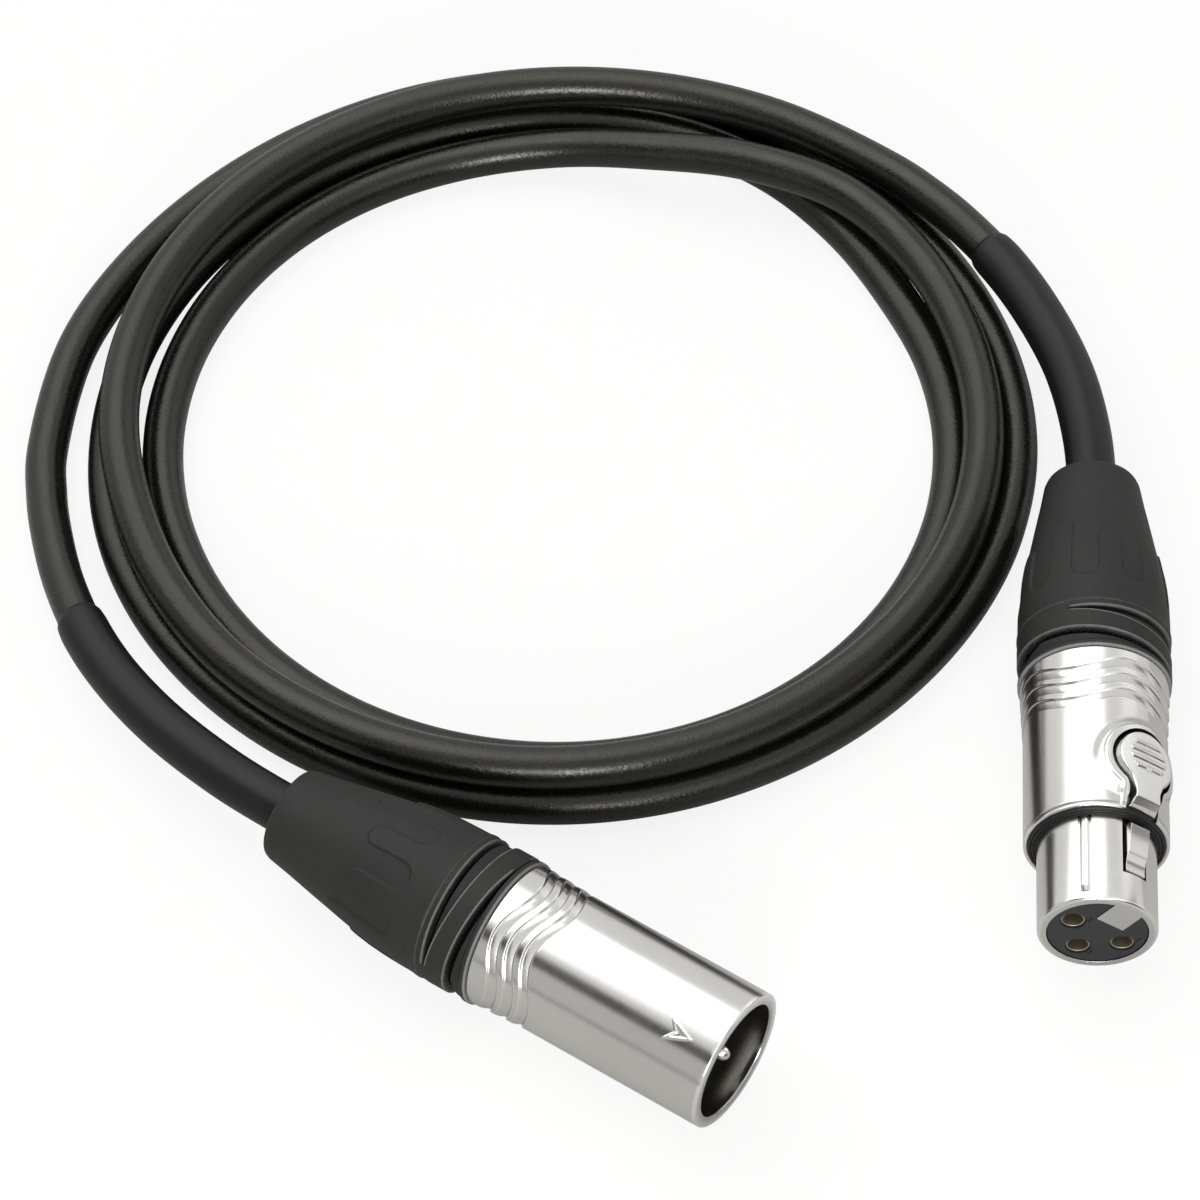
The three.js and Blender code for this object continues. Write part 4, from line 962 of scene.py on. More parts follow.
@dataclass
class Rear:
    """Boot and ring of one connector, on its hidden bushing. Lengths are in millimetres.

    Attributes:
        side: male or female, which begins each name.
        seat: the connector's place.
        palette: the finishes.
        boot_length: from the cable entry to the boot's front.
        bore: inner radius over the bushing.
        lip_bore: inner radius of the boot's front, over the ring's sleeve.
        sleeve_hole: radius of the cable entry.
        ring_start: rear of the ring's sleeve.
        ring_band: rear of the ring's own band.
        ring_end: front of the ring.
        grip_phase: angle of the first grip finger, in degrees.
        grip_rise: height of the grips.
        grip_radius: radius at which the grips' widths are measured.
        grips: number of fingers.
        finger_width: width of a finger.
        long_tip: where every third finger begins.
        short_tip: where the others begin.
        valley_tip: where the valleys between them end.
        grip_middle: where fingers give way to valleys.
        slot_wall: rear wall of the rear slot.
        shelf_from: how far from its middle the front slot has a shelf, in degrees.
    """

    side: str
    seat: Seat
    palette: Palette
    boot_length: float = 34.1
    bore: float = 8.95
    lip_bore: float = 9.22
    sleeve_hole: float = 3.75
    ring_start: float = 32.7
    ring_band: float = 34.2
    ring_end: float = 35.05
    grip_phase: float = 19.5
    grip_rise: float = 0.3
    grip_radius: float = 9.7
    grips: int = 9
    finger_width: float = 3.1
    long_tip: float = 12.0
    short_tip: float = 14.5
    valley_tip: float = 23.0
    grip_middle: float = 18.5
    slot_wall: float = 28.45
    shelf_from: float = 60.0

    def silhouette(self, x: np.ndarray) -> np.ndarray:
        """Outer radius of the boot's recessed surface at a distance from its rear."""
        places = (0.0, 2.2, 4.3, 6.3, 8.4, 10.5, 12.5, 14.6, 16.7, 18.8, 21.0, 24.0, 27.0, 35.0)
        radii = (6.55, 6.92, 7.27, 7.65, 8.05, 8.43, 8.8, 9.18, 9.55, 9.83, 10.0, 10.08, 10.12, 10.12)
        return np.interp(x, places, radii)

    def grip_height(self, x: np.ndarray, phi: np.ndarray) -> np.ndarray:
        """0 in the valleys and on the cone, 1 on the grips, with a thin step between."""
        spacing = 2 * math.pi / self.grips
        turn = phi - math.radians(self.grip_phase)
        index = np.round(turn / spacing)
        arc = (turn - index * spacing) * self.grip_radius
        half, half_spacing = self.finger_width / 2, spacing * self.grip_radius / 2
        valley_half = half_spacing - half
        tip = np.where(np.mod(index, 3) == 1, self.long_tip, self.short_tip)
        finger = capsule(x, arc, tip + half, self.boot_length, half)
        valley_end = self.valley_tip - valley_half
        valley = capsule(x, np.abs(arc) - half_spacing, 0.0, valley_end, valley_half)
        fingers, valleys = smoothstep(0.1, -0.1, finger), smoothstep(-0.1, 0.1, valley)
        return np.where(x < self.grip_middle, fingers, valleys)

    def slots(self, x: np.ndarray, phi: np.ndarray) -> tuple[np.ndarray, np.ndarray, np.ndarray]:
        """The two slots that lean across the front of the boot.

        Args:
            x: distance from the boot's rear.
            phi: angle from the latch or key.

        Returns:
            How deep the surface lies in them in millimetres, how much painted shade they get, and a mask of
            their rims for painted highlights.
        """
        rear_width = 2.35 * opened(phi, 60.0, 130.0)
        rear_on = smoothstep(0.2, 0.32, rear_width)
        ahead = x - self.slot_wall
        rear = rear_on * smoothstep(-0.08, 0.08, ahead) * smoothstep(0.08, -0.08, ahead - rear_width)
        rear_deep = smoothstep(0.72, 0.56, ahead)
        front_width = 2.7 * opened(phi, -120.0, 176.0) ** 0.6
        front_on = smoothstep(0.12, 0.22, front_width)
        wall = self.ring_band - 0.05 - front_width
        past = x - wall
        front = front_on * smoothstep(-0.08, 0.08, past)
        shy = opened(phi, -120.0, self.shelf_from)
        shelf = smoothstep(0.78, 0.94, past - 1.4 * shy)
        depth = rear * (0.45 + 0.85 * rear_deep) + front * (1.05 - 0.7 * shelf)
        # Painted shade in the slots, darkest near the rear slot's rear wall and lighter on the front slot's
        # shelf.
        painted_shade = rear * (0.5 + 0.5 * rear_deep) + front * (1 - 0.65 * shelf)
        # Painted highlight lines along the slots' rims.
        rear_rims = line_at(ahead + 0.16, 0.13) + line_at(ahead - rear_width - 0.16, 0.13)
        rim = rear_on * rear_rims + front_on * line_at(past + 0.16, 0.13)
        return depth, np.clip(painted_shade, 0, 1), np.clip(rim, 0, 1)

    def build(self) -> None:
        """Makes boot and ring and replaces their CAD nodes."""
        self._boot()
        self._ring()

    def _relief(self, x: np.ndarray, phi: np.ndarray, r: np.ndarray) -> np.ndarray:
        """Height of grips, front swell and slots over the silhouette, on the outside only."""
        outer = smoothstep(-0.6, -0.3, r - self.silhouette(x))
        depth, _, _ = self.slots(x, phi)
        rise, dip = 0.12 * smoothstep(26.0, 27.1, x), 0.14 * smoothstep(27.15, 27.6, x)
        swell = rise - dip + 0.1 * smoothstep(27.6, 29.0, x)
        return outer * (self.grip_rise * self.grip_height(x, phi) + swell - depth)

    def _hollow(self, x: np.ndarray, phi: np.ndarray, r: np.ndarray) -> np.ndarray:
        """Painted shade mask: the slots and the steps at the grips."""
        _, painted_shade, _ = self.slots(x, phi)
        grip = self.grip_height(x, phi)
        return np.clip(painted_shade + 4 * grip * (1 - grip) * 0.3, 0, 1)

    def _edge(self, x: np.ndarray, phi: np.ndarray, r: np.ndarray) -> np.ndarray:
        """Painted highlight mask: the slots' rims, the line in front of the grips and the entry's rim."""
        _, _, rim = self.slots(x, phi)
        lip = line_at(x - 27.35, 0.16)
        return np.clip(0.8 * rim + 0.3 * lip + 0.3 * smoothstep(0.5, 0.0, x), 0, 1)

    def _boot(self) -> None:
        """Makes the boot, finely divided where it has relief, with a near-black material on its slots as
        painted shade.
        """
        length, bore = self.boot_length, self.bore
        places = np.concatenate([
            np.arange(0.9, 11.5, 0.5), np.arange(11.6, 27.0, 0.14), np.arange(27.0, length - 0.05, 0.09),
        ])
        outline = [(0.0, 5.4, 0.0), (0.0, 6.35, 0.5), *[(x, float(self.silhouette(x)), 0.0) for x in places]]
        outline += [
            (length, 10.0, 0.0), (length, self.lip_bore, 0.0), (32.5, self.lip_bore, 0.0),
            (32.5, bore, 0.0), (17.7, bore, 0.0), (12.7, 6.6, 0.0), (12.7, self.sleeve_hole, 0.0),
            (0.8, self.sleeve_hole, 0.3), (0.3, 4.6, 0.6),
        ]
        masks = {"hollow": self._hollow, "edge": self._edge, "deep": lambda x, phi, r: self.slots(x, phi)[1]}
        thing = turned(f"{self.side}_boot_skin", outline, self.seat, 480, relief=self._relief, masks=masks)
        fit_piece(thing, self.palette.material(Paint.BOOT), [f"{self.side}_boot"])
        thing.data.materials.append(self.palette.material(Paint.PAINTED_SLOT_SHADE))
        # Faces deep in the slots' painted shade mask get the near-black painted shade material.
        deep = [value.value for value in thing.data.attributes["deep"].data]
        for face in thing.data.polygons:
            face.material_index = int(min(deep[k] for k in face.vertices) > 0.75)

    def _ring(self) -> None:
        """Makes the ring, whose sleeve runs back under the boot's lip."""
        start, band, end = self.ring_start, self.ring_band, self.ring_end
        inner, outer, tube = self.bore + 0.05, 10.42, self.lip_bore - 0.1
        outline = [
            (start, inner, 0.0), (start, tube, 0.0), (band, tube, 0.0), (band, outer, 0.14),
            (end, outer, 0.2), (end, inner, 0.0),
        ]
        # Painted highlight on the ring's front rim, and painted shade on its inside.
        masks = {
            "edge": lambda x, phi, r: smoothstep(end - 0.3, end - 0.1, x),
            "hollow": lambda x, phi, r: (r < 9.4) * 1.0,
        }
        thing = turned(f"{self.side}_ring_moulding", outline, self.seat, 160, step=0.25, masks=masks)
        fit_piece(thing, self.palette.material(Paint.BOOT), [f"{self.side}_ring"])


def opened(phi: np.ndarray, middle: float, reach: float) -> np.ndarray:
    """How far a leaning slot is open.

    Args:
        phi: angle from the latch or key.
        middle: the slot's widest place, in degrees.
        reach: how far from there it closes, in degrees.

    Returns:
        1 at its widest and 0 where it is closed.
    """
    low = math.cos(math.radians(reach))
    return np.clip((np.cos(phi - math.radians(middle)) - low) / (1 - low), 0, 1)


def wavy_bands(
    x: np.ndarray, phi: np.ndarray, start: float, phase: float
) -> tuple[np.ndarray, np.ndarray, np.ndarray]:
    """The three wavy bands at the rear of a shell, each with a soft rear step and a sharp front one.

    Args:
        x: distance along the connector.
        phi: angle from the latch or key.
        start: where the shell starts.
        phase: angle of the wave's nearest point to the rear, in degrees.

    Returns:
        Height over the smooth barrel, a mask of the edges that get painted highlights and a mask of the
        notches that get painted shade.
    """
    wave = np.cos(4 * (phi - math.radians(phase)))
    height = np.full_like(x, 0.36)
    edges, notches = np.zeros_like(x), np.zeros_like(x)
    for k in range(3):
        rear = x - (start + 2.1 + 2.45 * k - 0.9 * wave)
        front = x - (start + 3.65 + 2.4 * k - 0.86 * np.cos(4 * (phi - math.radians(phase - 2.0))))
        sunk = np.clip(rear / 1.55, 0, 1) ** 2 * smoothstep(0.13, -0.03, front)
        height = height - (0.12 + 0.12 * (front < 0)) * smoothstep(0.0, 0.36, rear) - 0.28 * sunk
        # Painted highlight lines along both steps, and painted shade in the notch before each front step.
        edges = np.maximum(edges, line_at(rear + 0.02, 0.12))
        edges = np.maximum(edges, 0.8 * line_at(front - 0.2, 0.1))
        notches = np.maximum(notches, line_at(front + 0.03, 0.1))
    return height, edges, notches


def contact_places(radius: float = 4.1) -> list[tuple[float, float]]:
    """Places of contacts 1, 2 and 3 about the axis: left and right of the key, and opposite it."""
    return [(radius, 0.0), (-radius, 0.0), (0.0, -radius)]


@dataclass
class Connector:
    """What both connectors share. Lengths are in millimetres, and distances from the cable entry.

    Attributes:
        seat: the connector's place.
        palette: the finishes.
        shell_start: rear of the shell.
        bore: inner radius of the shell.
        barrel_radius: outer radius of the shell.
        bands_end: front of the wavy bands.
        wave_phase: angle of the bands' nearest point to the rear, in degrees.
        outside: radii above this lie on the shell's outside.
    """

    seat: Seat
    palette: Palette
    shell_start: float = 35.2
    bore: float = 8.95
    barrel_radius: float = 9.72
    bands_end: float = 45.2
    wave_phase: float = -3.0
    outside: float = 9.4

    def dress(
        self, thing: bpy.types.Object, paint: Paint, slot: str, nodes: Sequence[str] = (), body: str = "root"
    ) -> None:
        """Fits a piece with one of the palette's finishes."""
        fit_piece(thing, self.palette.material(paint), nodes, body)

    def rear_outline(self) -> list[tuple]:
        """The banded rear of a shell, closely divided, up to its smooth barrel."""
        start, radius = self.shell_start, self.barrel_radius
        outline = [(start, self.bore, 0.0), (start, radius - 0.12, 0.0), (start + 0.14, radius, 0.0)]
        return outline + self.barrel_stations(start + 0.3, self.bands_end, 0.09)

    def barrel_stations(self, start: float, end: float, step: float) -> list[tuple]:
        """Evenly spaced corners along the barrel, for relief to lift."""
        return [(float(x), self.barrel_radius, 0.0) for x in np.arange(start, end, step)]

    def outer(self, r: np.ndarray) -> np.ndarray:
        """1 on the shell's outside and 0 inside it."""
        return smoothstep(self.outside, self.outside + 0.2, r)

    def bands(self, x: np.ndarray, phi: np.ndarray, r: np.ndarray) -> tuple[np.ndarray, ...]:
        """Height of the wavy bands, with their painted highlight edges and painted shade notches, on the
        outer surface only.
        """
        share = self.outer(r) * (x < self.bands_end)
        return tuple(share * layer for layer in wavy_bands(x, phi, self.shell_start, self.wave_phase))


# ---------------------------------------------------------------- male connector


@dataclass
class Male(Connector):
    """Shell, insert and pins of the male connector.

    Attributes:
        mouth: front of the shell.
        mouth_radius: inner radius of the mouth.
        insert_face: front of the insert.
        arrow_angle: angle of the arrow from the key, in degrees.
        arrow_tip: where the arrow ends.
        arrow_tail: where its barbs begin.
        arrow_notch: where the notch between them ends.
        arrow_half: half the arrow's width.
    """

    mouth: float = 70.5
    mouth_radius: float = 8.1
    insert_face: float = 55.5
    arrow_angle: float = -1.8
    arrow_tip: float = 66.95
    arrow_tail: float = 63.1
    arrow_notch: float = 64.4
    arrow_half: float = 1.52

    def build(self) -> None:
        """Makes the shell, the insert and the three pins."""
        self._shell()
        self._insert()
        for i, (y, z) in enumerate(contact_places()):
            self._pin(i + 1, y, z)

    def _arrow(self, x: np.ndarray, phi: np.ndarray) -> np.ndarray:
        """An orientation arrow that points out of the mouth, as a raised outline."""
        girth = 2 * math.pi * self.barrel_radius
        across = (phi - math.radians(self.arrow_angle)) * self.barrel_radius
        across = np.mod(across + girth / 2, girth) - girth / 2
        slope = self.arrow_half / (self.arrow_tip - self.arrow_tail)
        flank = (np.abs(across) - (self.arrow_tip - x) * slope) / math.hypot(1.0, slope)
        back_slope = (self.arrow_notch - self.arrow_tail) / self.arrow_half
        back = (self.arrow_notch - back_slope * np.abs(across) - x) / math.hypot(1.0, back_slope)
        inside = np.maximum(flank, back)
        return smoothstep(0.17, 0.05, np.abs(inside + 0.12))

    def _relief(self, x: np.ndarray, phi: np.ndarray, r: np.ndarray) -> np.ndarray:
        """Height of the bands and the arrow."""
        return self.bands(x, phi, r)[0] + 0.14 * self._arrow(x, phi) * self.outer(r)

    def _edge(self, x: np.ndarray, phi: np.ndarray, r: np.ndarray) -> np.ndarray:
        """Mask of polish wear and painted highlights: the mouth's rim, the bands' crests and the arrow."""
        rim = smoothstep(self.mouth - 0.55, self.mouth - 0.3, x)
        arrow = self._arrow(x, phi) * (r > self.outside)
        return np.clip(rim + 0.8 * self.bands(x, phi, r)[1] + 0.8 * arrow, 0, 1)

    def _hollow(self, x: np.ndarray, phi: np.ndarray, r: np.ndarray) -> np.ndarray:
        """Painted shade mask: the bands' notches and the inside."""
        return np.clip(self.bands(x, phi, r)[2] + (r < self.mouth_radius + 0.5) * 1.0, 0, 1)

    def _shell(self) -> None:
        """Makes the shell, finely divided where the bands and the arrow are."""
        mouth, bore, radius = self.mouth, self.mouth_radius, self.barrel_radius
        outline = self.rear_outline() + self.barrel_stations(46.0, 62.5, 1.5)
        outline += self.barrel_stations(self.arrow_tail - 0.3, self.arrow_tip + 0.35, 0.07)
        outline += [
            (mouth - 0.7, radius, 0.0), (mouth, radius, 0.42), (mouth, bore, 0.3), (mouth - 0.9, bore, 0.0),
            (65.3, bore, 0.1), (65.0, bore + 0.35, 0.1), (61.9, bore + 0.35, 0.1), (61.6, bore, 0.1),
            (46.3, bore, 0.0), (46.3, self.bore, 0.0),
        ]
        masks = {"edge": self._edge, "hollow": self._hollow}
        thing = turned("male_shell_plated", outline, self.seat, 420, relief=self._relief, masks=masks)
        self.dress(thing, Paint.NICKEL, "nickel", ["male_shell"])

    def _insert(self) -> None:
        """Makes the insert that carries the pins, with its keyway."""
        face, radius = self.insert_face, self.mouth_radius - 0.2
        outline = [
            (42.0, 0.0), (42.0, 8.7), (46.0, 8.7), (46.0, radius), (face, radius, 0.3), (face, 0.0),
        ]
        thing = turned("male_insert_moulding", outline, self.seat)
        keyway = box("keyway", (face - 1.2, -2.2, 4.1), (face + 1.0, 2.2, 9.0), self.seat.matrix)
        carved(thing, [keyway])
        creased(thing)
        edged(thing, 0.12)
        self.dress(thing, Paint.INSULATOR, "insulator", ["male_insert"])

    def _pin(self, number: int, y: float, z: float) -> None:
        """Makes a pin with a round tip.

        Args:
            number: of the contact.
            y: its place across the connector.
            z: its place towards the key.
        """
        tip, root, radius, taper = self.mouth - 2.3, self.insert_face - 2, 1.2, 1.9
        turns = np.linspace(0, math.pi / 2, 12)
        nose = [(tip - taper + taper * math.sin(a), radius * math.cos(a), 0.0) for a in turns]
        outline = [(root, 0.0), (root, radius), *nose]
        thing = turned(f"male_contact_{number}", outline, self.seat, 32)
        thing.data.transform(self.seat.shift(0.0, y, z))
        paint_mask(thing, "edge")
        self.dress(thing, Paint.PIN, "contact", [f"male_pin_{number}"])


# ---------------------------------------------------------------- female connector


@dataclass
class Female(Connector):
    """Barrel, nose, seal, insert, sockets, ground contact and latch of the female connector.

    Attributes:
        barrel_end: front of the barrel.
        nose_end: front of the nose.
        nose_radius: outer radius of the nose.
        insert_radius: outer radius of the insert in the nose.
        window_end: front of the window that the hook stands in.
        window_half: half its width.
        tab_half: half the width of the key tab.
        tab_inner: its inner face, from the axis.
        pad_radius: radius of the press pad's head.
        pad_centre: middle of the head.
        pad_front: front of the pad's neck.
        pad_crown: top of the pad, from the axis.
        neck_half: half the width of the neck.
        gap: clearance round the pad.
        groove_place: middle of the groove near the barrel's front, back from there.
        ground_angle: angle of the ground rib from the latch, in degrees.
        knuckle_place: middle of the latch's knuckle, along and from the axis.
    """

    wave_phase: float = -10.0
    barrel_end: float = 61.0
    nose_end: float = 74.8
    nose_radius: float = 7.95
    insert_radius: float = 6.6
    window_end: float = 70.0
    window_half: float = 1.95
    tab_half: float = 2.2
    tab_inner: float = 2.5
    pad_radius: float = 4.3
    pad_centre: float = 53.0
    pad_front: float = 60.6
    pad_crown: float = 11.0
    neck_half: float = 1.95
    gap: float = 0.62
    groove_place: float = 0.62
    ground_angle: float = -50.5
    knuckle_place: tuple[float, float] = (43.6, 6.8)

    def build(self) -> None:
        """Makes every visible piece of the connector."""
        self._barrel()
        self._nose()
        self._seal()
        self._insert()
        self._ground()
        for i, (y, z) in enumerate(contact_places()):
            self._socket(i + 1, y, z)
        self._latch()

    def pad_outline(self, margin: float, front: float) -> Points:
        """Draws the press pad: a round head that flows into a neck.

        Args:
            margin: how far outside the pad the outline lies.
            front: front of the neck.

        Returns:
            The outline, with its corners cut twice into curves.
        """
        radius, half = self.pad_radius + margin, self.neck_half + margin
        meet = math.radians(38)
        head = [
            (self.pad_centre + radius * math.cos(a), radius * math.sin(a))
            for a in np.linspace(meet, 2 * math.pi - meet, 48)
        ]
        waist = self.pad_centre + radius * math.cos(meet) + 1.5
        flare = [(waist, half + 0.1), (waist + 0.8, half), (front - 0.3, half + 0.1), (front, half + 0.15)]
        points = flare[::-1] + head + [(x, -y) for x, y in flare]
        for _ in range(2):
            sides = list(zip(points, points[1:]))
            points = [points[0]] + [
                (a[0] + (b[0] - a[0]) * t, a[1] + (b[1] - a[1]) * t) for a, b in sides for t in (0.25, 0.75)
            ] + [points[-1]]
        return points

    def away_from_pad(self, x: np.ndarray, phi: np.ndarray) -> tuple[np.ndarray, np.ndarray]:
        """Distance along the barrel's surface from the pad's head, and from all of the pad."""
        across = (np.mod(phi + math.pi, 2 * math.pi) - math.pi) * self.barrel_radius
        head = np.hypot(x - self.pad_centre, across) - self.pad_radius
        neck = capsule(x, across, self.pad_centre, self.pad_front + 6, self.neck_half + 0.15)
        return head, np.minimum(head, neck)

    def _front_groove(self, x: np.ndarray) -> np.ndarray:
        """1 in the groove round the barrel's front."""
        return line_at(x - (self.barrel_end - self.groove_place), 0.12)

    def _relief(self, x: np.ndarray, phi: np.ndarray, r: np.ndarray) -> np.ndarray:
        """Height of the bands, and of the dome and lip round the pad."""
        end, gap = self.barrel_end, self.gap
        head, away = self.away_from_pad(x, phi)
        lip = smoothstep(gap + 0.78, gap + 0.55, away) * smoothstep(end - 0.2, end - 0.9, x)
        dome = 0.8 * smoothstep(3.2, 1.2, head) * smoothstep(end - 0.4, end - 2.4, x)
        groove = 0.12 * self._front_groove(x) * (1 - lip)
        return self.bands(x, phi, r)[0] + self.outer(r) * (dome + 0.24 * lip - groove)

    def _edge(self, x: np.ndarray, phi: np.ndarray, r: np.ndarray) -> np.ndarray:
        """Mask of polish wear and painted highlights: the front rim, the bands' crests and the lip round the
        pad.
        """
        _, away = self.away_from_pad(x, phi)
        rim = smoothstep(self.barrel_end - 0.3, self.barrel_end - 0.15, x)
        crest = line_at(away - self.gap - 0.5, 0.12) + line_at(away - self.gap - 0.06, 0.1)
        return np.clip(rim + 0.8 * self.bands(x, phi, r)[1] + 0.8 * crest * (r > self.outside), 0, 1)

    def _hollow(self, x: np.ndarray, phi: np.ndarray, r: np.ndarray) -> np.ndarray:
        """Painted shade mask: the bands' notches, the front groove and the inside."""
        groove = self._front_groove(x) * (r > self.outside)
        return np.clip(self.bands(x, phi, r)[2] + 0.8 * groove + (r < 9.1) * 1.0, 0, 1)

    def _barrel(self) -> None:
        """Makes the barrel, with the opening that the press pad stands in."""
        end, radius, lip = self.barrel_end, self.barrel_radius, 9.2
        outline = self.rear_outline() + self.barrel_stations(self.bands_end + 0.1, end - 0.3, 0.16)
        outline += [
            (end, radius, 0.22), (end, lip, 0.1), (end - 1.2, lip, 0.0), (end - 1.2, self.bore, 0.0),
        ]
        masks = {"edge": self._edge, "hollow": self._hollow}
        thing = turned("female_barrel_plated", outline, self.seat, 420, relief=self._relief, masks=masks)
        opening = prism("opening", self.pad_outline(self.gap, end + 1), 0.0, 14.0, self.seat.matrix)
        carved(thing, [opening])
        creased(thing, 40)
        self.dress(thing, Paint.NICKEL, "nickel", ["female_barrel"])

    def _nose(self) -> None:
        """Makes the nose, with its window, its key tab and the groove of the ground rib."""
        end, radius, inner = self.nose_end, self.nose_radius, self.insert_radius + 0.12
        outline = [
            (57.5, inner), (57.5, 8.7), (59.9, 8.7), (59.9, radius), (end, radius, 0.6), (end, inner, 0.05),
        ]

        # Polish wear and a painted highlight on the nose's front rim.
        def edge(x, phi, r):
            return 0.8 * smoothstep(end - 0.66, end - 0.5, x) * smoothstep(radius - 0.7, radius - 0.3, r)

        thing = turned("female_nose_plated", outline, self.seat, 200, masks={"edge": edge})
        paint_mask(thing, "hollow")
        half, tab_half = self.window_half, self.tab_half
        window = box("window", (56, -half, 0), (self.window_end, half, 12), self.seat.matrix)
        rib_place = self.seat.rolled(-self.ground_angle)
        groove = box("groove", (60.5, -0.9, radius - 0.34), (73.6, 0.9, radius + 2), rib_place)
        tab_corners = (end - 2.5, -tab_half, self.tab_inner), (end, tab_half, inner + 0.4)
        tab = box("tab", *tab_corners, self.seat.matrix)
        carved(thing, [window, groove])
        carved(thing, [tab], join=True)
        creased(thing, 35)
        self.dress(thing, Paint.NICKEL, "nickel", ["female_nose"])

    def _seal(self) -> None:
        """Makes the rubber ring round the nose, with two ridges on its face."""
        inner, outer = self.nose_radius + 0.03, 9.16
        ridges = [
            (61.3, 8.85, 0.12), (61.05, 8.72, 0.06), (61.3, 8.6, 0.12),
            (61.4, 8.42, 0.1), (61.15, 8.3, 0.06), (61.45, 8.18, 0.1),
        ]
        outline = [
            (59.95, inner, 0.0), (59.95, outer, 0.0), (61.15, outer, 0.3), *ridges, (61.45, inner, 0.1),
        ]
        thing = turned("female_seal_ring", outline, self.seat, 128)
        paint_mask(thing, "edge")
        self.dress(thing, Paint.BLACK, "black_plastic", ["female_seal"])

    def _insert(self) -> None:
        """Makes the insert that carries the sockets, with the notch for the key tab."""
        face, radius = self.nose_end - 0.12, self.insert_radius
        outline = [
            (42.0, 0.0), (42.0, 8.7), (46.0, 8.7), (46.0, radius), (face, radius, 0.12), (face, 0.0),
        ]
        thing = turned("female_insert_moulding", outline, self.seat)
        place, half = self.seat.matrix, self.tab_half + 0.06
        cutters = [
            box("channel", (41, -2.3, 4.6), (self.window_end + 0.2, 2.3, 12), place),
            box("notch", (face - 2.6, -half, self.tab_inner - 0.06), (face + 1, half, 8), place),
        ]
        rear, front, hole = face - 3.2, face + 0.4, 1.69
        for y, z in contact_places():
            cup = turned("seat", [(rear, 0.0), (rear, hole), (front, hole), (front, 0.0)], self.seat, 32)
            cup.data.transform(self.seat.shift(0.0, y, z))
            cutters.append(cup)
        carved(thing, cutters)
        creased(thing, 35)
        self.dress(thing, Paint.INSULATOR, "insulator", ["female_insert"])
        for i, (y, z) in enumerate(contact_places()):
            self._digit(str(i + 1), y, z, face)

    def _digit(self, text: str, y: float, z: float, face: float) -> None:
        """Makes a contact's number, in thin relief beside its hole.

        Args:
            text: the number.
            y: the contact's place across the connector.
            z: its place towards the latch.
            face: the insert's front.
        """
        shape = bpy.data.curves.new(f"digit_{text}", "FONT")
        shape.body, shape.size = text, 1.5
        shape.extrude, shape.bevel_depth = 0.05, 0.02
        shape.align_x, shape.align_y = "CENTER", "CENTER"
        maker = bpy.data.objects.new("maker", shape)
        bpy.context.scene.collection.objects.link(maker)
        graph = bpy.context.evaluated_depsgraph_get()
        mesh = bpy.data.meshes.new_from_object(maker.evaluated_get(graph))
        bpy.data.objects.remove(maker)
        aside = {"1": (1.2, 1.9), "2": (1.5, 1.6), "3": (2.1, -0.2)}[text]
        turn = Matrix(((0, 0, 1, face), (1, 0, 0, y + aside[0]), (0, 1, 0, z + aside[1]), (0, 0, 0, 1)))
        mesh.transform(self.seat.matrix @ turn)
        thing = bpy.data.objects.new(f"female_digit_{text}", mesh)
        bpy.context.scene.collection.objects.link(thing)
        self.dress(thing, Paint.BLACK, "insulator")

    def _ground(self) -> None:
        """Makes the ground contact, a crowned rib along the nose."""
        radius = self.nose_radius
        profile = filleted([
            (61.5, radius - 0.3, 0.0), (61.5, radius + 0.16, 0.1), (72.5, radius + 0.16, 0.3),
            (73.3, radius - 0.2, 0.1), (73.3, radius - 0.3, 0.0),
        ])
        shares, half, crown = np.linspace(-1.0, 1.0, 9), 0.62, 0.16
        grid = []
        for share in shares:
            angle, drop = share * half / radius + math.radians(self.ground_angle), crown * abs(share) ** 3
            grid += [(x, (r - drop) * math.sin(angle), (r - drop) * math.cos(angle)) for x, r in profile]
        count = len(profile)
        faces = loop_faces(len(shares), count, False)
        faces += [tuple(range(count)), tuple(range(len(grid) - count, len(grid)))[::-1]]
        thing = object_from("female_ground_rib", grid, faces, self.seat.matrix)
        clean(thing)
        creased(thing, 45)
        self.dress(thing, Paint.POLISHED, "nickel", ["female_ground_contact"])

    def _socket(self, number: int, y: float, z: float) -> None:
        """Makes a socket contact.

        Args:
            number: of the contact.
            y: its place across the connector.
            z: its place towards the latch.
        """
        front = self.nose_end - 0.35
        outline = [
            (front - 15, 0.0), (front - 15, 1.7), (front - 3, 1.7), (front - 3, 1.6), (front, 1.6, 0.06),
            (front, 1.36, 0.1), (front - 1.0, 1.22), (front - 13, 1.2), (front - 13, 0.0),
        ]
        thing = turned(f"female_contact_{number}", outline, self.seat, 32)
        thing.data.transform(self.seat.shift(0.0, y, z))
        self.dress(thing, Paint.BRASS, "contact", [f"female_socket_{number}"])

    def _latch(self) -> None:
        """The press pad with grip ribs, on its lever, with the hook in the nose's window."""
        pad = self._pad()
        lever = self._lever()
        self.dress(pad, Paint.POLISHED, "nickel", ["female_latch"], "latch")
        self.dress(lever, Paint.POLISHED, "nickel", body="latch")

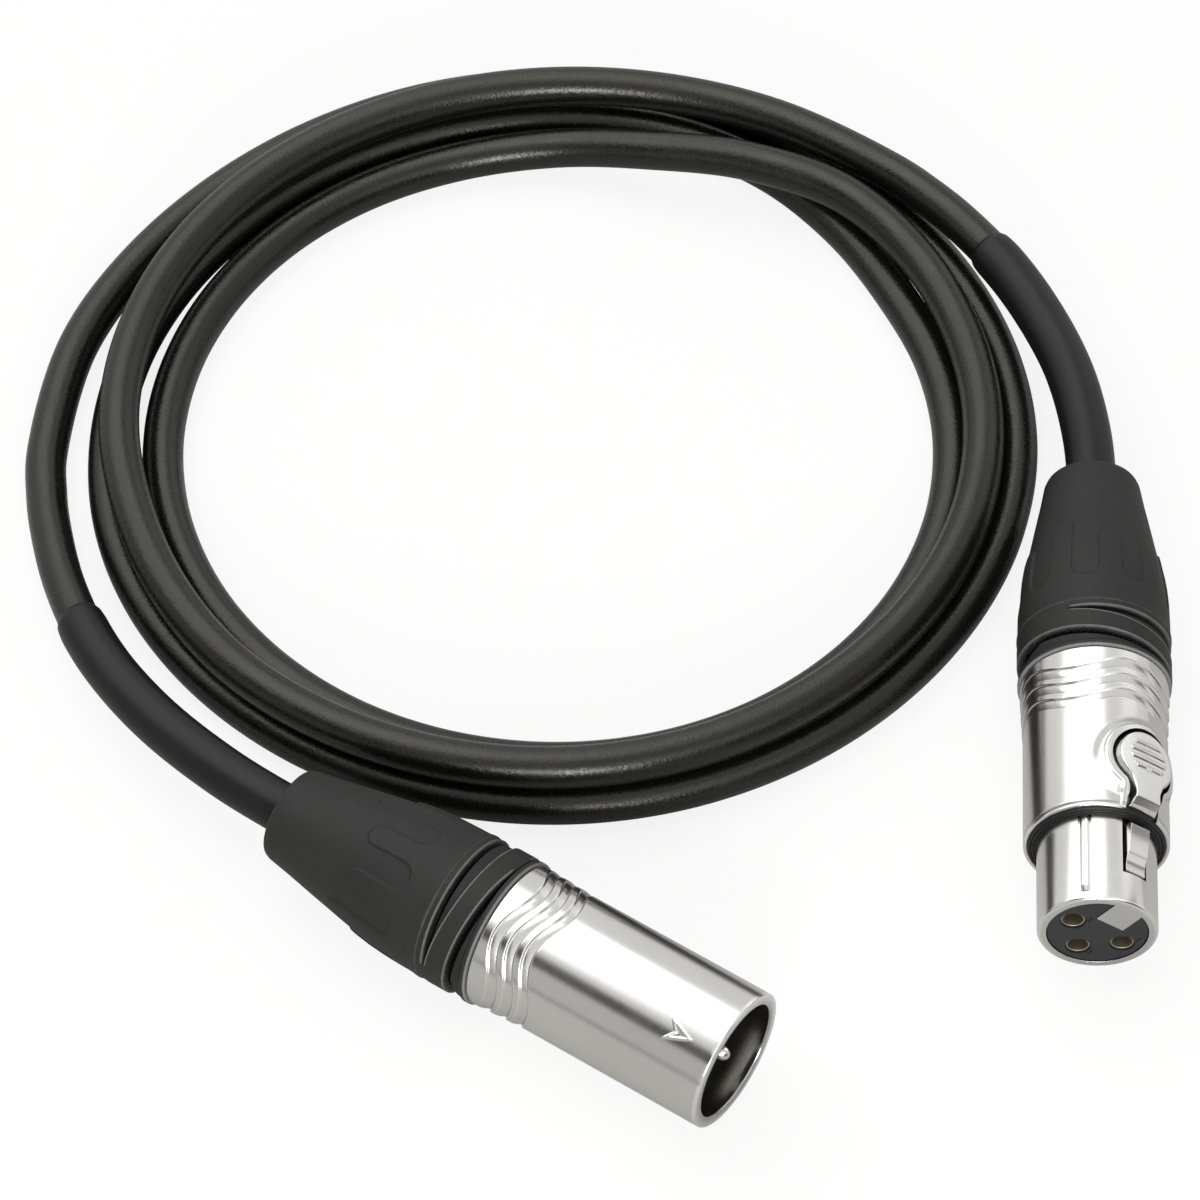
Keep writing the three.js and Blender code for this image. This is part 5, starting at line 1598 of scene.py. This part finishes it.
    def _pad_height(self, k: int, x: np.ndarray, y: np.ndarray, depth: np.ndarray) -> np.ndarray:
        """Height of one ring of the pad: its wall's foot and top, then its crowned face with ribs.

        Args:
            k: the ring's number, from the foot inwards.
            x: distance along the connector.
            y: distance from its middle plane.
            depth: how far inside the outline the ring lies.

        Returns:
            Height from the axis.
        """
        top = self.pad_crown - 0.014 * y**2
        round_off = 0.3 * (1 - np.sqrt(1 - (1 - np.clip(depth / 0.3, 0, 1)) ** 2))
        slope = 1.25 * np.clip((x - (self.pad_front - 1.0)) / 1.0, 0, 1)
        middles = [self.pad_centre - 2.3 + 1.25 * i for i in range(4)]
        ribs = sum(0.2 * smoothstep(0.42, 0.12, np.abs(x - middle)) for middle in middles)
        ribs = ribs * smoothstep(3.0, 2.7, np.hypot((x - self.pad_centre + 0.3), y))
        return (7.4 + 0 * x, top - 1.5)[k] if k < 2 else top - round_off - slope + ribs

    def _pad(self) -> bpy.types.Object:
        """Makes the press pad in rings that shrink from its wall to its middle."""
        outline = np.array(divided(self.pad_outline(0.0, self.pad_front), 0.2))
        core = np.array([self.pad_centre + 0.6, 0.0])
        shares = np.concatenate([[1.08, 1.08], 1 - np.linspace(0.0, 1.0, 44) ** 1.25])
        rings = []
        for k, share in enumerate(shares):
            flat = core + (outline - core) * share
            depth = np.linalg.norm(outline - core, axis=1) * max(1 - share, 0)
            x, y = np.minimum(flat[:, 0], self.pad_front), flat[:, 1]
            rings.append(np.stack([x, y, self._pad_height(k, x, y, depth)], axis=1))
        around = len(outline)
        grid = np.concatenate(rings)
        faces = loop_faces(len(rings), around, False)
        faces.append(tuple(range(around))[::-1])
        thing = object_from("female_latch_pad", grid, faces, self.seat.matrix)
        clean(thing)
        creased(thing, 50)
        paint_mask(thing, "edge")
        return thing

    def _lever(self) -> bpy.types.Object:
        """Makes the lever under the pad, from its knuckle to the hook with its hollow ramp."""
        rear, base, top, front = 43.9, 6.4, 7.2, self.window_end - 0.25
        ramp = [(66.75, 8.62), (67.0, 8.5), (67.5, 8.22), (68.1, 8.04), (68.8, 7.95), (front - 0.1, 7.93)]
        facet = [(62.9, 9.15), (62.6, 9.0), (62.4, 7.5)]
        side = [(rear, base), (front, base), (front, 7.8), *ramp[::-1], *facet, (62.0, top), (rear, top)]
        place = self.seat.rolled(90)
        thing = prism("female_latch_lever", side, -1.55, 1.55, place)
        (along, up), radius = self.knuckle_place, 1.3
        turns = np.linspace(0, 2 * math.pi, 24, endpoint=False)
        circle = [(along + radius * math.cos(a), up + radius * math.sin(a)) for a in turns]
        carved(thing, [prism("knuckle", circle, -1.88, 1.88, place)], join=True)
        creased(thing, 25)
        edged(thing, 0.2, 28)
        return thing


# ---------------------------------------------------------------- pieces that stay as the CAD has them


@dataclass
class InnerParts:
    """Finishes for the CAD nodes that stay: clamps, conductors, latch pin and spring.

    Attributes:
        nodes: the CAD nodes by name.
        palette: the finishes.
    """

    nodes: dict[str, bpy.types.Object]
    palette: Palette

    def build(self) -> None:
        """Gives each node its finish."""
        finishes = {
            "latch_pin": Paint.STEEL, "latch_spring": Paint.STEEL,
            "bushing": Paint.BLACK, "chuck": Paint.BLACK,
            "conductor_1": Paint.COPPER, "conductor_2": Paint.WHITE, "conductor_3": Paint.RED,
        }
        for name, node in self.nodes.items():
            for ending, paint in finishes.items():
                if name.endswith(ending):
                    node.data.materials.clear()
                    node.data.materials.append(self.palette.material(paint))
                    LOG.info("%s, as the CAD has it, in %s", name, paint.value.name)


# ---------------------------------------------------------------- studio


@dataclass
class Studio:
    """Floor, world, lamps, walls for the metal to reflect, and the camera.

    Attributes:
        target: what the camera looks at, in metres like the rest.
        azimuth: the camera's bearing from there, in degrees.
        elevation: its elevation, in degrees.
        distance: from the target to the camera.
        lens: focal length in millimetres.
        lamps: name, place, size and power of each lamp.
        walls: name, radius, first and last bearing, foot and top, and glow of each wall.
    """

    target: tuple[float, float, float] = (-0.04314, 0.00970, 0.0)
    azimuth: float = 33.78
    elevation: float = 52.2
    distance: float = 0.7665
    lens: float = 165.0
    lamps: tuple = (
        ("key", (-0.85, 0.25, 1.2), (1.8, 1.3), 11.5),
        ("fill", (0.85, -0.35, 0.8), (0.7, 0.5), 1.5),
        ("top", (-0.3, 0.1, 1.5), (1.0, 0.9), 4.5),
        ("front", (0.57, -0.90, 0.49), (0.5, 0.32), 11.0),
    )
    walls: tuple = (
        ("grey_card", 1.7, (-170.0, -60.0), (0.12, 1.05), 0.68),
        ("dark_skirting", 1.65, (-170.0, -20.0), (0.01, 0.13), 0.3),
        ("dark_strip", 1.5, (-142.0, -92.0), (1.0, 1.82), 0.02),
        ("dark_side", 1.6, (-40.0, 20.0), (0.02, 1.05), 0.2),
        ("dark_post", 1.6, (48.0, 60.0), (0.5, 0.98), 0.16),
        ("bright_side", 1.62, (64.0, 100.0), (0.55, 1.3), 1.35),
    )

    def build_camera(self) -> None:
        """Makes the camera and puts it in charge."""
        settings = bpy.data.cameras.new("camera")
        settings.lens, settings.sensor_width = self.lens, 36.0
        settings.clip_start, settings.clip_end = 0.01, 20.0
        camera = bpy.data.objects.new("camera", settings)
        bpy.context.scene.collection.objects.link(camera)
        azimuth, elevation = math.radians(self.azimuth), math.radians(self.elevation)
        level = math.cos(elevation)
        back = Vector((math.sin(azimuth) * level, -math.cos(azimuth) * level, math.sin(elevation)))
        camera.location = Vector(self.target) + back * self.distance
        camera.rotation_euler = back.to_track_quat("Z", "Y").to_euler()
        bpy.context.scene.camera = camera

    def build(self) -> None:
        """Makes the world, the floor, the lamps and the walls."""
        self._world()
        self._floor()
        for lamp in self.lamps:
            self._lamp(*lamp)
        for wall in self.walls:
            self._wall(*wall)
        bpy.context.scene.view_settings.view_transform = "Standard"

    def _world(self) -> None:
        """Makes the backdrop: white where it is seen or mirrored, and dimmer as a light."""
        world = bpy.data.worlds.new("studio")
        world.use_nodes = True
        tree = world.node_tree
        tree.nodes.clear()
        path = tree.nodes.new("ShaderNodeLightPath")
        seen = path.outputs["Is Camera Ray"]
        for kind in ("Is Glossy Ray", "Is Transmission Ray"):
            seen = add_node(tree, "Math", {0: seen, 1: path.outputs[kind]}, operation="MAXIMUM").outputs[0]
        strength = add_node(tree, "MapRange", {"Value": seen, "To Min": 0.42, "To Max": 1.0})
        back = add_node(tree, "Background", {"Color": (1, 1, 1, 1), "Strength": strength.outputs[0]})
        out = tree.nodes.new("ShaderNodeOutputWorld")
        tree.links.new(back.outputs[0], out.inputs[0])
        bpy.context.scene.world = world

    def _floor(self) -> None:
        """Makes the paper underneath, which glows a little for the camera and keeps the shadow."""
        side = 3.0
        corners = [(-side, -side, 0), (side, -side, 0), (side, side, 0), (-side, side, 0)]
        thing = object_from("floor", corners, [(0, 1, 2, 3)])
        thing.location.z = -0.0002
        material = bpy.data.materials.new("floor_paper")
        material.use_nodes = True
        tree = material.node_tree
        tree.nodes.clear()
        diffuse = add_node(tree, "BsdfDiffuse", {"Color": (0.54, 0.54, 0.53, 1)})
        glow = add_node(tree, "Emission", {"Color": (1, 1, 1, 1), "Strength": 1.09})
        path = tree.nodes.new("ShaderNodeLightPath")
        seen = path.outputs["Is Camera Ray"]
        share = add_node(tree, "MapRange", {"Value": seen, "To Min": 0.0, "To Max": 0.78})
        mix = tree.nodes.new("ShaderNodeMixShader")
        tree.links.new(share.outputs[0], mix.inputs[0])
        tree.links.new(diffuse.outputs[0], mix.inputs[1])
        tree.links.new(glow.outputs[0], mix.inputs[2])
        out = tree.nodes.new("ShaderNodeOutputMaterial")
        tree.links.new(mix.outputs[0], out.inputs[0])
        thing.data.materials.append(material)

    def _lamp(self, name: str, place: Sequence[float], size: Sequence[float], power: float) -> None:
        """Makes an area lamp that faces the coil.

        Args:
            name: the lamp's name.
            place: where it hangs.
            size: its width and height.
            power: in watts.
        """
        data = bpy.data.lights.new(name, "AREA")
        data.shape, data.size, data.size_y, data.energy = "RECTANGLE", size[0], size[1], power
        lamp = bpy.data.objects.new(name, data)
        bpy.context.scene.collection.objects.link(lamp)
        lamp.location = Vector(place)
        lamp.rotation_euler = (Vector(place) - Vector((-0.04, 0.01, 0.0))).to_track_quat("Z", "Y").to_euler()

    def _wall(
        self, name: str, radius: float, span: Sequence[float], rise: Sequence[float], glow: float
    ) -> None:
        """Makes a curved wall round the object, which only its gloss sees.

        Args:
            name: the wall's name.
            radius: of its curve.
            span: its first and last bearing, in degrees.
            rise: its foot and its top.
            glow: how bright it is.
        """
        count = 24
        bearings = np.radians(np.linspace(*span, count))
        grid = [(radius * math.cos(a), radius * math.sin(a), z) for z in rise for a in bearings]
        faces = [(k, k + 1, count + 1 + k, count + k) for k in range(count - 1)]
        thing = object_from(name, grid, faces)
        material = bpy.data.materials.new(name)
        material.use_nodes = True
        tree = material.node_tree
        tree.nodes.clear()
        light = add_node(tree, "Emission", {"Color": (1, 1, 1, 1), "Strength": glow})
        out = tree.nodes.new("ShaderNodeOutputMaterial")
        tree.links.new(light.outputs[0], out.inputs[0])
        thing.data.materials.append(material)
        thing.visible_camera = False
        thing.visible_shadow = False
        thing.visible_diffuse = False


# ---------------------------------------------------------------- the whole


def main() -> None:
    """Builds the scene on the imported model."""
    logging.basicConfig(level=logging.INFO, format="%(name)s: %(message)s")
    for thing in list(bpy.data.objects):
        bpy.data.objects.remove(thing)
    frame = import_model()
    male_seat = Seat((-52.785, -49.790, 10.597), 0.0, 30.0)
    female_seat = Seat((7.420, 57.208, 10.597), -58.8, -35.0)
    palette = Palette()
    studio = Studio()
    studio.build_camera()
    assemblies = [
        Cable(CableRoute((-62.382, 27.809), male_seat, female_seat), palette),
        Rear("male", male_seat, palette),
        Rear("female", female_seat, palette, grip_phase=14.5, shelf_from=35.0),
        Male(male_seat, palette),
        Female(female_seat, palette),
        InnerParts(frame["nodes"], palette),
        studio,
    ]
    for assembly in assemblies:
        LOG.info("building %s", type(assembly).__name__)
        assembly.build()


if __name__ == "__main__":
    main()
